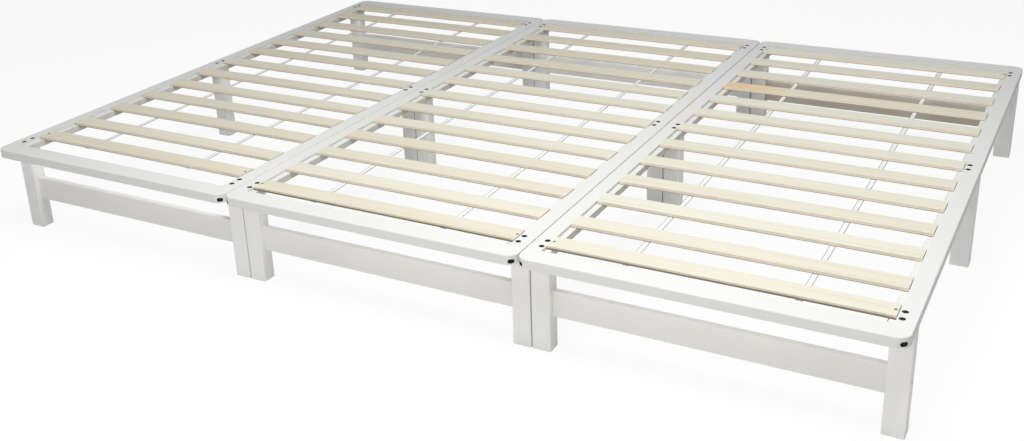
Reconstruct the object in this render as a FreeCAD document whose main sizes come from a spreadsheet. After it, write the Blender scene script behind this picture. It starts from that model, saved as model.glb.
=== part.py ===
import FreeCAD
import Part
import Sketcher
import math
import os

# A wide low bed made of three free-standing pallet-style modules, pushed together side by side.
# Each module is a frame of four flat rails on six square legs, with a stretcher between the legs at
# each end and a strapped base of loose slats that lies in the side rails' rebates.
# Millimetres. X runs across the modules, Y from the front end to the rear, Z up from the floor.
# The origin is on the floor, under the middle of the bed.

SIZES = {
    # The module and the seam between two of them
    "module_width": 900,
    "module_length": 2000,
    "module_gap": 2,
    # Flat rails of the top frame
    "rail_width": 58,
    "rail_thickness": 27,
    "rail_edge_round": 2.5,
    "corner_radius": 30,
    "rebate_width": 16,
    "rebate_depth": 8,
    # Legs
    "leg_height": 261,
    "leg_width": 51,
    "leg_depth": 43,
    "leg_side_inset": 0.5,
    "leg_end_inset": 77,
    "leg_edge_round": 3,
    "leg_foot_chamfer": 1.5,
    # Stretchers between the corner legs
    "stretcher_height": 71,
    "stretcher_thickness": 18,
    "stretcher_floor_gap": 95,
    "stretcher_setback": 15,
    "stretcher_edge_round": 2,
    # Slats and the two straps below them
    "slat_width": 57,
    "slat_thickness": 10,
    "slat_end_gap": 1.5,
    "slat_edge_round": 1.5,
    "slat_front_gap": 27,
    "slat_front_gap_wide": 77,
    "slat_rear_gap": 25,
    "strap_width": 15,
    "strap_thickness": 1.2,
    "strap_spacing": 406,
    # Screws down through the side rails into the legs
    "leg_screw_diameter": 6,
    "leg_screw_depth": 52,
    "leg_screw_head_diameter": 12,
    "leg_screw_head_height": 4.5,
    "leg_screw_recess": 0.5,
    "leg_screw_spacing": 33,
    "leg_screw_side_inset": 31,
    # Bolts at the frame's corners and the stretchers' ends, with their nuts
    "bolt_diameter": 6,
    "bolt_head_diameter": 10.5,
    "bolt_head_height": 5,
    "bolt_recess": 1.5,
    "bolt_tip": 2,
    "corner_bolt_drop": 16.5,
    "hex_nut_diameter": 11.5,
    "hex_nut_height": 5,
    "barrel_nut_diameter": 10,
    "barrel_nut_length": 14,
    "socket_diameter": 5.5,
    "socket_depth": 2.5,
    # Plates inside the frame's corners
    "plate_thickness": 2,
    "plate_reach": 16,
    "plate_flange": 14,
    # Wood screws in the end slats and the corner plates
    "wood_screw_diameter": 3.5,
    "wood_screw_length": 22,
    "wood_screw_head_diameter": 7,
    "wood_screw_head_height": 2.5,
    # Dowels beside the stretcher bolts
    "dowel_diameter": 8,
    "dowel_length": 36,
    "dowel_spacing": 22,
    # Room around fasteners, room under the slats, and how far cuts run past a face
    "bore_clearance": 0.2,
    "slat_clearance": 1,
    "cut_overrun": 1,
}

SLAT_COUNT = 13

# How far each hand-laid slat strays from an even spacing, as shares of the pitch, front to rear.
LEFT_STRAY_SHARES = (0, -0.02, 0.08, 0.1, 0.05, 0.03, 0.06, 0.08, 0.04, 0.02, 0, 0.04, 0)
MIDDLE_STRAY_SHARES = (0, -0.03, -0.05, -0.02, -0.02, -0.05, -0.06, -0.03, -0.03, -0.07, -0.05, -0.02, 0)
RIGHT_STRAY_SHARES = (0, -0.08, 0, -0.01, 0.02, 0.03, 0.04, 0.04, 0, 0, 0, 0.01, 0)

X_AXIS = FreeCAD.Vector(1, 0, 0)
Y_AXIS = FreeCAD.Vector(0, 1, 0)
Z_AXIS = FreeCAD.Vector(0, 0, 1)

# Sizes that follow from the sheet, written as expressions.
RAIL_TOP = "(dim.leg_height + dim.rail_thickness)"
LEDGE_TOP = f"({RAIL_TOP} - dim.rebate_depth)"
BOLT_HEIGHT = f"({RAIL_TOP} - dim.corner_bolt_drop)"
RAIL_FACE = "(dim.rail_width - dim.rebate_width)"
CORNER_INSET = "(dim.corner_radius * (1 - cos(45)))"
LEG_END_CENTRE = "(dim.leg_end_inset + dim.leg_depth / 2)"
STRETCHER_LENGTH = "(dim.module_width - 2 * (dim.leg_side_inset + dim.leg_width))"
STRETCHER_MIDDLE = "(dim.stretcher_floor_gap + dim.stretcher_height / 2)"
STRETCHER_CENTRE = "(dim.leg_end_inset + dim.stretcher_setback + dim.stretcher_thickness / 2)"
SLAT_LENGTH = f"(dim.module_width - 2 * ({RAIL_FACE} + dim.slat_end_gap))"
SLAT_SCREW_INSET = "(dim.rebate_width / 2 - dim.slat_end_gap)"
PLATE_HEIGHT = "(2 * (dim.corner_bolt_drop - dim.rebate_depth - dim.slat_clearance))"
PLATE_SCREW_REACH = "(dim.plate_reach + dim.plate_flange / 2)"
BOLT_SEAT = "(dim.bolt_recess + dim.bolt_head_height)"
CORNER_DIAGONAL = f"((dim.rail_width - {CORNER_INSET}) / cos(45))"
PLATE_DISTANCE = f"({CORNER_DIAGONAL} + dim.plate_reach * cos(45))"
NUT_DISTANCE = f"({PLATE_DISTANCE} + dim.plate_thickness)"
BOLT_END = f"({NUT_DISTANCE} + dim.hex_nut_height + dim.bolt_tip)"
BOLT_LENGTH = f"({BOLT_END} - {BOLT_SEAT})"
BARREL_INSET = f"({BOLT_END} - dim.bolt_tip - dim.barrel_nut_diameter / 2 - dim.leg_width)"

doc = FreeCAD.newDocument("pallet_bed")
sheet = doc.addObject("Spreadsheet::Sheet", "dim")
for row, (alias, size) in enumerate(SIZES.items(), start=1):
    sheet.set(f"A{row}", alias)
    sheet.set(f"B{row}", str(size))
    sheet.setAlias(f"B{row}", alias)
doc.recompute()

nodes = []


def number(expression):
    """Return the present value of an expression."""
    return float(sheet.evalExpression(expression))


def keep(thing, node):
    """Name a finished sub-part and list it for writing."""
    thing.Label = node
    nodes.append(thing)
    return thing


def place(thing, x, y, z):
    """Bind where a thing stands."""
    for axis, expression in zip("xyz", (x, y, z)):
        thing.setExpression(f"Placement.Base.{axis}", expression)


# Drawing


def draw_on(body, name, role, height="0"):
    """Return an empty sketch on one of a body's own planes, raised by a height."""
    sketch = body.newObject("Sketcher::SketchObject", name)
    plane = next(item for item in body.Origin.OriginFeatures if item.Role == role)
    sketch.AttachmentSupport = [(plane, "")]
    sketch.MapMode = "FlatFace"
    sketch.setExpression("AttachmentOffset.Base.z", height)
    return sketch


def bind(sketch, constraint, expression):
    """Add a constraint whose value follows an expression."""
    index = sketch.addConstraint(constraint)
    sketch.setExpression(f"Constraints[{index}]", expression)


def fix_point(sketch, geometry, end, x, y):
    """Bind one end of a line or arc to a place in the sketch."""
    bind(sketch, Sketcher.Constraint("DistanceX", -1, 1, geometry, end, number(x)), x)
    bind(sketch, Sketcher.Constraint("DistanceY", -1, 1, geometry, end, number(y)), y)


def arc_between(start, end, radius):
    """Return the short counter-clockwise arc between two points."""
    chord = end.sub(start)
    half = chord.Length / 2
    left = FreeCAD.Vector(-chord.y, chord.x, 0).normalize()
    centre = start.add(chord.multiply(0.5)).add(left.multiply(math.sqrt(radius * radius - half * half)))
    angles = [math.atan2(point.y - centre.y, point.x - centre.x) for point in (start, end)]
    return Part.ArcOfCircle(Part.Circle(centre, Z_AXIS, radius), *angles)


def draw_outline(sketch, corners):
    """Draw a closed counter-clockwise outline of lines and rounded stretches.

    Each corner is x, y and the radius of the arc that leaves it, or None for a straight line.
    """
    points = [FreeCAD.Vector(number(x), number(y), 0) for x, y, radius in corners]
    for index, (x, y, radius) in enumerate(corners):
        start = points[index]
        end = points[(index + 1) % len(points)]
        if radius:
            sketch.addGeometry(arc_between(start, end, number(radius)))
        else:
            sketch.addGeometry(Part.LineSegment(start, end))
    for index, (x, y, radius) in enumerate(corners):
        sketch.addConstraint(Sketcher.Constraint("Coincident", index, 2, (index + 1) % len(points), 1))
        fix_point(sketch, index, 1, x, y)
        if radius:
            bind(sketch, Sketcher.Constraint("Radius", index, number(radius)), radius)


def draw_rectangle(sketch, left, bottom, right, top):
    """Draw a rectangle between two pairs of bounds."""
    corners = ((left, bottom), (right, bottom), (right, top), (left, top))
    draw_outline(sketch, [(x, y, None) for x, y in corners])


# Features


def pad(body, sketch, length):
    """Raise a sketch by a length and return the feature."""
    feature = body.newObject("PartDesign::Pad", f"{sketch.Name}_pad")
    feature.Profile = sketch
    feature.setExpression("Length", length)
    doc.recompute()
    return feature


def pocket(body, sketch, depth):
    """Cut a sketch down by a depth and return the feature."""
    before = body.Shape.Volume
    feature = body.newObject("PartDesign::Pocket", f"{sketch.Name}_pocket")
    feature.Profile = sketch
    feature.setExpression("Length", depth)
    doc.recompute()
    if feature.Shape.Volume >= before:
        raise RuntimeError(f"{feature.Name} cuts nothing")
    return feature


def soften(body, feature, kind, size_name, size, wanted):
    """Round or chamfer the edges that a test picks out."""
    names = [f"Edge{i}" for i, edge in enumerate(feature.Shape.Edges, start=1) if wanted(edge.BoundBox)]
    softened = body.newObject(f"PartDesign::{kind}", f"{feature.Name}_{kind.lower()}")
    softened.Base = (feature, names)
    softened.setExpression(size_name, size)
    doc.recompute()
    return softened


def linked(master, name, x, y, z, turn=None):
    """Return a placed copy of a master shape."""
    copy = doc.addObject("App::Link", name)
    copy.LinkedObject = master
    copy.LinkTransform = True
    if turn:
        copy.Placement = FreeCAD.Placement(FreeCAD.Vector(), turn)
    place(copy, x, y, z)
    return copy


def group(name, members):
    """Return a compound that keeps its members as separate solids."""
    compound = doc.addObject("Part::Compound", name)
    compound.Links = members
    return compound


def cut(name, base, tools):
    """Return a shape with a list of tools cut out of it."""
    result = doc.addObject("Part::Cut", name)
    result.Base = base
    result.Tool = group(f"{name}_bores", tools)
    return result


def mirrored(source, name, normal, x="0", y="0"):
    """Return the mirror image of a piece in an upright plane."""
    image = doc.addObject("Part::Mirroring", name)
    image.Source = source
    image.Normal = normal
    image.setExpression("Base.x", x)
    image.setExpression("Base.y", y)
    return image


def rod(name, diameter, length, top="0"):
    """Return a cylinder that hangs down from a height."""
    cylinder = doc.addObject("Part::Cylinder", name)
    cylinder.setExpression("Radius", f"({diameter}) / 2")
    cylinder.setExpression("Height", length)
    cylinder.setExpression("Placement.Base.z", f"{top} - ({length})")
    return cylinder


def headed_rod(name, head_diameter, head_height, diameter, length):
    """Return a head with a shank below it. The head's top is at the origin."""
    joined = doc.addObject("Part::Fuse", name)
    joined.Base = rod(f"{name}_head", head_diameter, head_height)
    joined.Tool = rod(f"{name}_shank", diameter, f"({head_height}) + ({length})")
    return joined


def with_socket(name, fastener):
    """Sink a hexagon socket into the top of a fastener."""
    socket = doc.addObject("Part::Prism", f"{name}_socket")
    socket.Polygon = 6
    socket.setExpression("Circumradius", "dim.socket_diameter / 2")
    socket.setExpression("Height", "dim.socket_depth + dim.cut_overrun")
    socket.setExpression("Placement.Base.z", "-dim.socket_depth")
    result = doc.addObject("Part::Cut", name)
    result.Base = fastener
    result.Tool = socket
    return result


# Turns that point a fastener, which hangs down at rest, along a level heading in degrees from +X.


def heading(degrees):
    """Return the turn that lays a hanging fastener along a level heading."""
    return FreeCAD.Rotation(Z_AXIS, degrees).multiply(FreeCAD.Rotation(Y_AXIS, -90))


# Fasteners, and the bores that they need


def make_leg_screw():
    """Return the screw that holds a leg under a side rail."""
    sunk = "dim.leg_screw_recess + dim.leg_screw_head_height"
    length = f"dim.rail_thickness + dim.leg_screw_depth - ({sunk})"
    plain = headed_rod(
        "leg_screw_plain", "dim.leg_screw_head_diameter", "dim.leg_screw_head_height",
        "dim.leg_screw_diameter", length)
    return with_socket("leg_screw", plain)


def make_leg_screw_bore():
    """Return the bore of a leg screw, from the rail's top down into the leg."""
    joined = doc.addObject("Part::Fuse", "leg_screw_bore")
    recess = "dim.leg_screw_recess + dim.leg_screw_head_height + dim.cut_overrun"
    joined.Base = rod(
        "leg_screw_bore_head", "dim.leg_screw_head_diameter + dim.bore_clearance",
        recess, "dim.cut_overrun")
    joined.Tool = rod(
        "leg_screw_bore_shank", "dim.leg_screw_diameter + dim.bore_clearance",
        "dim.rail_thickness + dim.leg_screw_depth + dim.bore_clearance")
    return joined


def make_bolt():
    """Return the bolt of the frame corners and the stretchers."""
    plain = headed_rod(
        "frame_bolt_plain", "dim.bolt_head_diameter", "dim.bolt_head_height",
        "dim.bolt_diameter", BOLT_LENGTH)
    return with_socket("frame_bolt", plain)


def make_bolt_bore():
    """Return the bore of a frame bolt. The origin is the face that the bolt's head is sunk in."""
    joined = doc.addObject("Part::Fuse", "frame_bolt_bore")
    joined.Base = rod(
        "frame_bolt_bore_head", "dim.bolt_head_diameter + dim.bore_clearance",
        f"{BOLT_SEAT} + dim.cut_overrun", "dim.cut_overrun")
    joined.Tool = rod(
        "frame_bolt_bore_shank", "dim.bolt_diameter + dim.bore_clearance", f"{BOLT_END} + dim.bolt_tip")
    return joined


def make_wood_screw():
    """Return the small screw of the end slats and the corner plates."""
    return headed_rod(
        "wood_screw", "dim.wood_screw_head_diameter", "dim.wood_screw_head_height",
        "dim.wood_screw_diameter", "dim.wood_screw_length")


def make_wood_screw_bore():
    """Return the bore of a wood screw whose head is let in flush."""
    return headed_rod(
        "wood_screw_bore", "dim.wood_screw_head_diameter + dim.bore_clearance",
        "dim.wood_screw_head_height", "dim.wood_screw_diameter + dim.bore_clearance",
        "dim.wood_screw_length + dim.bore_clearance")


def make_wood_screw_pilot():
    """Return the bare pilot hole of a wood screw, below its head."""
    return rod(
        "wood_screw_pilot", "dim.wood_screw_diameter + dim.bore_clearance",
        "dim.wood_screw_length + dim.bore_clearance", "-dim.wood_screw_head_height")


def make_dowel(name, room):
    """Return a dowel that hangs half above and half below the origin, or its bore."""
    length = f"(dim.dowel_length + {room})"
    return rod(name, f"dim.dowel_diameter + {room}", length, f"{length} / 2")


def make_hex_nut():
    """Return a hexagon nut that hangs below the origin."""
    prism = doc.addObject("Part::Prism", "hex_nut_blank")
    prism.Polygon = 6
    prism.setExpression("Circumradius", "dim.hex_nut_diameter / 2")
    prism.setExpression("Height", "dim.hex_nut_height")
    prism.setExpression("Placement.Base.z", "-dim.hex_nut_height")
    nut = doc.addObject("Part::Cut", "hex_nut")
    nut.Base = prism
    nut.Tool = rod(
        "hex_nut_bore", "dim.bolt_diameter + dim.bore_clearance",
        "dim.hex_nut_height + 2 * dim.cut_overrun", "dim.cut_overrun")
    return nut


def make_barrel_nut():
    """Return a barrel nut on the Z axis, with the bolt's hole across it along X."""
    nut = doc.addObject("Part::Cut", "barrel_nut")
    nut.Base = rod(
        "barrel_nut_blank", "dim.barrel_nut_diameter", "dim.barrel_nut_length", "dim.barrel_nut_length / 2")
    hole = rod("barrel_nut_hole", "dim.bolt_diameter + dim.bore_clearance", "2 * dim.barrel_nut_diameter")
    nut.Tool = linked(hole, "barrel_nut_cross_hole", "-dim.barrel_nut_diameter", "0", "0", heading(0))
    return nut


def make_barrel_nut_bore():
    """Return the bore of a barrel nut, open towards the top."""
    return rod(
        "barrel_nut_bore", "dim.barrel_nut_diameter + dim.bore_clearance",
        "dim.barrel_nut_length / 2 + dim.stretcher_thickness", "dim.stretcher_thickness")


def make_corner_plate():
    """Return a bent plate for the corner at the origin, whose flanges run along +X and +Y."""
    body = doc.addObject("PartDesign::Body", "corner_plate_blank")
    reach = "dim.plate_reach"
    end = "(dim.plate_reach + dim.plate_flange)"
    skin = "dim.plate_thickness"
    bend = "(dim.plate_reach + dim.plate_thickness * tan(22.5))"
    profile = draw_on(body, "corner_plate_profile", "XY_Plane", f"{BOLT_HEIGHT} - {PLATE_HEIGHT} / 2")
    draw_outline(profile, [
        (reach, "0", None), (end, "0", None), (end, skin, None), (bend, skin, None),
        (skin, bend, None), (skin, end, None), ("0", end, None), ("0", reach, None)])
    pad(body, profile, PLATE_HEIGHT)
    hole = rod("corner_plate_bolt_hole", "dim.bolt_diameter + dim.bore_clearance", "2 * dim.plate_reach")
    pilot = masters["wood_screw_pilot"]
    seat = "dim.plate_thickness + dim.wood_screw_head_height"
    return cut("corner_plate", body, [
        linked(hole, "corner_plate_hole", "0", "0", BOLT_HEIGHT, heading(45)),
        linked(pilot, "corner_plate_side_hole", seat, PLATE_SCREW_REACH, BOLT_HEIGHT, heading(180)),
        linked(pilot, "corner_plate_end_hole", PLATE_SCREW_REACH, seat, BOLT_HEIGHT, heading(270))])


def make_slat():
    """Return one slat with its lower front left corner at the origin."""
    body = doc.addObject("PartDesign::Body", "slat")
    profile = draw_on(body, "slat_profile", "YZ_Plane")
    draw_rectangle(profile, "0", "0", "dim.slat_width", "dim.slat_thickness")
    bar = pad(body, profile, SLAT_LENGTH)
    soften(body, bar, "Fillet", "Radius", "dim.slat_edge_round",
           lambda box: box.XLength > box.YLength + box.ZLength)
    return body


def make_end_slat():
    """Return a slat with a screw hole near each end."""
    bore = masters["wood_screw_bore"]
    far = f"{SLAT_LENGTH} - {SLAT_SCREW_INSET}"
    middle = "dim.slat_width / 2"
    return cut("end_slat", masters["slat"], [
        linked(bore, "end_slat_left_hole", SLAT_SCREW_INSET, middle, "dim.slat_thickness"),
        linked(bore, "end_slat_right_hole", far, middle, "dim.slat_thickness")])


masters = {
    "leg_screw": make_leg_screw(),
    "leg_screw_bore": make_leg_screw_bore(),
    "bolt": make_bolt(),
    "bolt_bore": make_bolt_bore(),
    "wood_screw": make_wood_screw(),
    "wood_screw_bore": make_wood_screw_bore(),
    "wood_screw_pilot": make_wood_screw_pilot(),
    "dowel": make_dowel("dowel", "0"),
    "dowel_bore": make_dowel("dowel_bore", "dim.bore_clearance"),
    "hex_nut": make_hex_nut(),
    "barrel_nut": make_barrel_nut(),
    "barrel_nut_bore": make_barrel_nut_bore(),
    "slat": make_slat(),
}
masters["corner_plate"] = make_corner_plate()
masters["end_slat"] = make_end_slat()


# One module. Places are measured from its front left corner on the floor.


class Module:
    """One free-standing bed frame with its slats and fasteners."""

    def __init__(self, name, step, front_gap, stray_shares):
        self.name = name
        self.centre_x = f"{step} * (dim.module_width + dim.module_gap)"
        self.left = f"({self.centre_x} - dim.module_width / 2)"
        self.front = "(-dim.module_length / 2)"
        self.front_gap = front_gap
        self.stray_shares = stray_shares

    def node(self, piece):
        """Return a piece's full name."""
        return f"{self.name}_module_{piece}"

    def put(self, master, name, x, y, z, turn=None):
        """Return a placed copy of a master, measured from the module's corner."""
        where = f"{self.left} + {x}"
        return linked(masters[master], self.node(name), where, f"{self.front} + {y}", z, turn)

    def put_body(self, piece, x, y, z):
        """Return an empty body that stands at a place in the module."""
        body = doc.addObject("PartDesign::Body", self.node(f"{piece}_blank"))
        place(body, f"{self.left} + {x}", f"{self.front} + {y}", z)
        return body

    def across(self, source, piece):
        """Keep the mirror image of a piece on the module's right side."""
        return keep(mirrored(source, self.node(piece), X_AXIS, x=self.centre_x), self.node(piece))

    def behind(self, source, piece):
        """Keep the mirror image of a piece at the module's rear end."""
        return keep(mirrored(source, self.node(piece), Y_AXIS), self.node(piece))

    def slat_fronts(self):
        """Return the place of every slat's front edge."""
        first = f"(dim.rail_width + {self.front_gap})"
        last = "(dim.module_length - dim.rail_width - dim.slat_rear_gap - dim.slat_width)"
        pitch = f"(({last} - {first}) / {SLAT_COUNT - 1})"
        return [f"({first} + {index + share} * {pitch})" for index, share in enumerate(self.stray_shares)]

    def corners(self):
        """Return the name, inner corner and heading of each corner of the frame."""
        low = "dim.rail_width"
        right = "(dim.module_width - dim.rail_width)"
        rear = "(dim.module_length - dim.rail_width)"
        return (("front_left", low, low, 45), ("front_right", right, low, 135),
                ("rear_right", right, rear, 225), ("rear_left", low, rear, 315))

    def build_side_rails(self):
        """Make the left side rail, with its rebate and bores, and its mirror image."""
        body = self.put_body("side_rail", "0", "0", "dim.leg_height")
        far = "(dim.module_length - dim.rail_width)"
        outline = draw_on(body, self.node("side_rail_outline"), "XY_Plane")
        draw_outline(outline, [
            ("dim.rail_width", "dim.rail_width", None),
            ("dim.rail_width", far, None),
            (CORNER_INSET, f"dim.module_length - {CORNER_INSET}", "dim.corner_radius"),
            ("0", "dim.module_length - dim.corner_radius", None),
            ("0", "dim.corner_radius", "dim.corner_radius"),
            (CORNER_INSET, CORNER_INSET, None)])
        board = pad(body, outline, "dim.rail_thickness")
        rim = number(RAIL_FACE)
        soften(body, board, "Fillet", "Radius", "dim.rail_edge_round",
               lambda box: box.YLength > box.ZLength and box.XMax < rim)
        rebate = draw_on(body, self.node("rebate"), "XY_Plane", "dim.rail_thickness")
        draw_rectangle(rebate, RAIL_FACE, "dim.rail_width", "dim.rail_width + dim.cut_overrun", far)
        pocket(body, rebate, "dim.rebate_depth")
        tools = self.put_leg_screws("leg_screw_bore", "side_rail_bore", RAIL_TOP, "left")
        tools += self.put_slat_screws("wood_screw_bore", "side_rail_bore", "left")
        tools += self.corner_tools("side_rail", ("front_left", "rear_left"))
        rail = keep(cut(self.node("left_side_rail"), body, tools), self.node("left_side_rail"))
        self.across(rail, "right_side_rail")

    def build_end_rails(self):
        """Make the front end rail, with its bores, and its mirror image."""
        body = self.put_body("end_rail", "0", "0", "dim.leg_height")
        far = "(dim.module_width - dim.rail_width)"
        outline = draw_on(body, self.node("end_rail_outline"), "XY_Plane")
        draw_outline(outline, [
            ("dim.corner_radius", "0", None),
            ("dim.module_width - dim.corner_radius", "0", "dim.corner_radius"),
            (f"dim.module_width - {CORNER_INSET}", CORNER_INSET, None),
            (far, "dim.rail_width", None),
            ("dim.rail_width", "dim.rail_width", None),
            (CORNER_INSET, CORNER_INSET, "dim.corner_radius")])
        board = pad(body, outline, "dim.rail_thickness")
        rim = number(RAIL_FACE)
        soften(body, board, "Fillet", "Radius", "dim.rail_edge_round",
               lambda box: box.XLength > box.ZLength and box.YMax < rim)
        tools = self.corner_tools("end_rail", ("front_left", "front_right"))
        rail = keep(cut(self.node("front_end_rail"), body, tools), self.node("front_end_rail"))
        self.behind(rail, "rear_end_rail")

    def build_leg(self, piece, y):
        """Return the plain post of a leg on the left side."""
        body = self.put_body(piece, "dim.leg_side_inset", y, "0")
        section = draw_on(body, self.node(f"{piece}_section"), "XY_Plane")
        draw_rectangle(section, "0", "0", "dim.leg_width", "dim.leg_depth")
        post = pad(body, section, "dim.leg_height")
        rounded = soften(body, post, "Fillet", "Radius", "dim.leg_edge_round",
                         lambda box: box.ZLength > box.XLength + box.YLength)
        middle = number("dim.leg_height / 2")
        soften(body, rounded, "Chamfer", "Size", "dim.leg_foot_chamfer", lambda box: box.ZMax < middle)
        return body

    def build_legs(self):
        """Make the six legs with their bores."""
        front = self.build_leg("front_left_leg", "dim.leg_end_inset")
        tools = self.put_leg_screws("leg_screw_bore", "front_leg_bore", RAIL_TOP, "left", (0,))
        tools += self.put_stretcher_bolts("bolt_bore", "front_leg_bore", "0", ("front_left",))
        tools += self.put_dowels("dowel_bore", "front_leg_bore", ("front_left",))
        front = keep(cut(self.node("front_left_leg"), front, tools), self.node("front_left_leg"))
        right = self.across(front, "front_right_leg")
        self.behind(front, "rear_left_leg")
        self.behind(right, "rear_right_leg")
        middle = self.build_leg("mid_left_leg", "(dim.module_length - dim.leg_depth) / 2")
        tools = self.put_leg_screws("leg_screw_bore", "mid_leg_bore", RAIL_TOP, "left", (1,))
        middle = keep(cut(self.node("mid_left_leg"), middle, tools), self.node("mid_left_leg"))
        self.across(middle, "mid_right_leg")

    def build_stretchers(self):
        """Make the front stretcher, with its bores, and its mirror image."""
        body = self.put_body(
            "stretcher", "dim.leg_side_inset + dim.leg_width", "dim.leg_end_inset + dim.stretcher_setback",
            "dim.stretcher_floor_gap")
        profile = draw_on(body, self.node("stretcher_profile"), "YZ_Plane")
        draw_rectangle(profile, "0", "0", "dim.stretcher_thickness", "dim.stretcher_height")
        board = pad(body, profile, STRETCHER_LENGTH)
        soften(body, board, "Fillet", "Radius", "dim.stretcher_edge_round",
               lambda box: box.XLength > box.YLength + box.ZLength)
        ends = ("front_left", "front_right")
        tools = self.put_stretcher_bolts("bolt_bore", "stretcher_bore", "0", ends)
        tools += self.put_barrel_nuts("barrel_nut_bore", "stretcher_bore", ends)
        tools += self.put_dowels("dowel_bore", "stretcher_bore", ends)
        stretcher = keep(cut(self.node("front_stretcher"), body, tools), self.node("front_stretcher"))
        self.behind(stretcher, "rear_stretcher")

    def build_slats(self):
        """Lay the slats in the rebates, with the straps below them."""
        x = f"({RAIL_FACE} + dim.slat_end_gap)"
        fronts = self.slat_fronts()
        placed = []
        for index, y in enumerate(fronts):
            master = "end_slat" if index in (0, SLAT_COUNT - 1) else "slat"
            placed.append(self.put(master, f"slat_{index}", x, y, LEDGE_TOP))
        keep(group(self.node("slats"), placed), self.node("slats"))
        straps = []
        for side, sign in (("left", "-"), ("right", "+")):
            strap = doc.addObject("Part::Box", self.node(f"{side}_strap"))
            strap.setExpression("Length", "dim.strap_width")
            strap.setExpression("Width", f"{fronts[-1]} + dim.slat_width - {fronts[0]}")
            strap.setExpression("Height", "dim.strap_thickness")
            x = f"{self.centre_x} {sign} dim.strap_spacing / 2 - dim.strap_width / 2"
            place(strap, x, f"{self.front} + {fronts[0]}", f"{LEDGE_TOP} - dim.strap_thickness")
            straps.append(strap)
        keep(group(self.node("slat_straps"), straps), self.node("slat_straps"))

    def build_fasteners(self):
        """Put every screw, bolt, nut, plate and dowel in its place."""
        top = f"({RAIL_TOP} - dim.leg_screw_recess)"
        screws = self.put_leg_screws("leg_screw", "leg_screw", top, "left")
        screws += self.put_leg_screws("leg_screw", "leg_screw", top, "right")
        small = self.put_slat_screws("wood_screw", "slat_screw", "left")
        small += self.put_slat_screws("wood_screw", "slat_screw", "right")
        ends = [name for name, x, y, turn in self.corners()]
        bolts = self.put_stretcher_bolts("bolt", "stretcher_bolt", "dim.bolt_recess", ends)
        nuts = self.put_barrel_nuts("barrel_nut", "barrel_nut", ends)
        dowels = self.put_dowels("dowel", "dowel", ends)
        plates = []
        for name, x, y, turn in self.corners():
            bolts.append(self.put_diagonal("bolt", f"corner_bolt_{name}", x, y, turn,
                                           f"(dim.bolt_recess - {CORNER_DIAGONAL})"))
            nuts.append(self.put_diagonal("hex_nut", f"hex_nut_{name}", x, y, turn,
                                          f"({NUT_DISTANCE} - {CORNER_DIAGONAL})"))
            swing = FreeCAD.Rotation(Z_AXIS, turn - 45)
            plates.append(self.put("corner_plate", f"plate_{name}", x, y, "0", swing))
            small += self.put_plate_screws("wood_screw", f"plate_screw_{name}", x, y, turn)
        pieces = {"leg_screws": screws, "wood_screws": small, "frame_bolts": bolts, "nuts": nuts,
                  "dowels": dowels, "corner_plates": plates}
        for piece, placed in pieces.items():
            keep(group(self.node(piece), placed), self.node(piece))

    def side_x(self, side, inset):
        """Return a place that is inset from the left or the right side."""
        return inset if side.endswith("left") else f"(dim.module_width - ({inset}))"

    def end_y(self, end, inset):
        """Return a place that is inset from the front or the rear end."""
        return inset if end.startswith("front") else f"(dim.module_length - ({inset}))"

    def put_leg_screws(self, master, name, z, side, rows=(0, 1, 2)):
        """Place a pair of screws, or bores, over each leg of one side."""
        middles = (LEG_END_CENTRE, "dim.module_length / 2", f"(dim.module_length - {LEG_END_CENTRE})")
        x = self.side_x(side, "dim.leg_screw_side_inset")
        placed = []
        for row in rows:
            for label, sign in (("front", "-"), ("rear", "+")):
                y = f"{middles[row]} {sign} dim.leg_screw_spacing / 2"
                placed.append(self.put(master, f"{name}_{side}_{row}_{label}", x, y, z))
        return placed

    def put_slat_screws(self, master, name, side):
        """Place a screw, or bore, through one end of the first and last slat."""
        x = self.side_x(side, "dim.rail_width - dim.rebate_width / 2")
        top = f"({LEDGE_TOP} + dim.slat_thickness)"
        fronts = self.slat_fronts()
        return [self.put(master, f"{name}_{side}_{label}", x, f"{fronts[index]} + dim.slat_width / 2", top)
                for label, index in (("first", 0), ("last", -1))]

    def put_stretcher_bolts(self, master, name, depth, ends):
        """Place a bolt, or bore, through each leg that holds a stretcher."""
        placed = []
        for end in ends:
            x = self.side_x(end, f"dim.leg_side_inset + {depth}")
            turn = heading(0) if end.endswith("left") else heading(180)
            y = self.end_y(end, STRETCHER_CENTRE)
            placed.append(self.put(master, f"{name}_{end}_bolt", x, y, STRETCHER_MIDDLE, turn))
        return placed

    def put_barrel_nuts(self, master, name, ends):
        """Place a barrel nut, or bore, across each end of a stretcher."""
        turn = FreeCAD.Rotation(X_AXIS, -90)
        placed = []
        for end in ends:
            x = self.side_x(end, f"dim.leg_side_inset + dim.leg_width + {BARREL_INSET}")
            y = self.end_y(end, STRETCHER_CENTRE)
            placed.append(self.put(master, f"{name}_{end}_nut", x, y, STRETCHER_MIDDLE, turn))
        return placed

    def put_dowels(self, master, name, ends):
        """Place a dowel, or bore, above each stretcher bolt."""
        placed = []
        for end in ends:
            x = self.side_x(end, "dim.leg_side_inset + dim.leg_width")
            y = self.end_y(end, STRETCHER_CENTRE)
            z = f"{STRETCHER_MIDDLE} + dim.dowel_spacing"
            placed.append(self.put(master, f"{name}_{end}_dowel", x, y, z, heading(0)))
        return placed

    def put_diagonal(self, master, name, x, y, turn, distance):
        """Place a piece on a corner's diagonal, at a distance inward of the inner corner."""
        where = f"{x} + cos({turn}) * {distance}"
        return self.put(master, name, where, f"{y} + sin({turn}) * {distance}", BOLT_HEIGHT, heading(turn))

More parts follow.
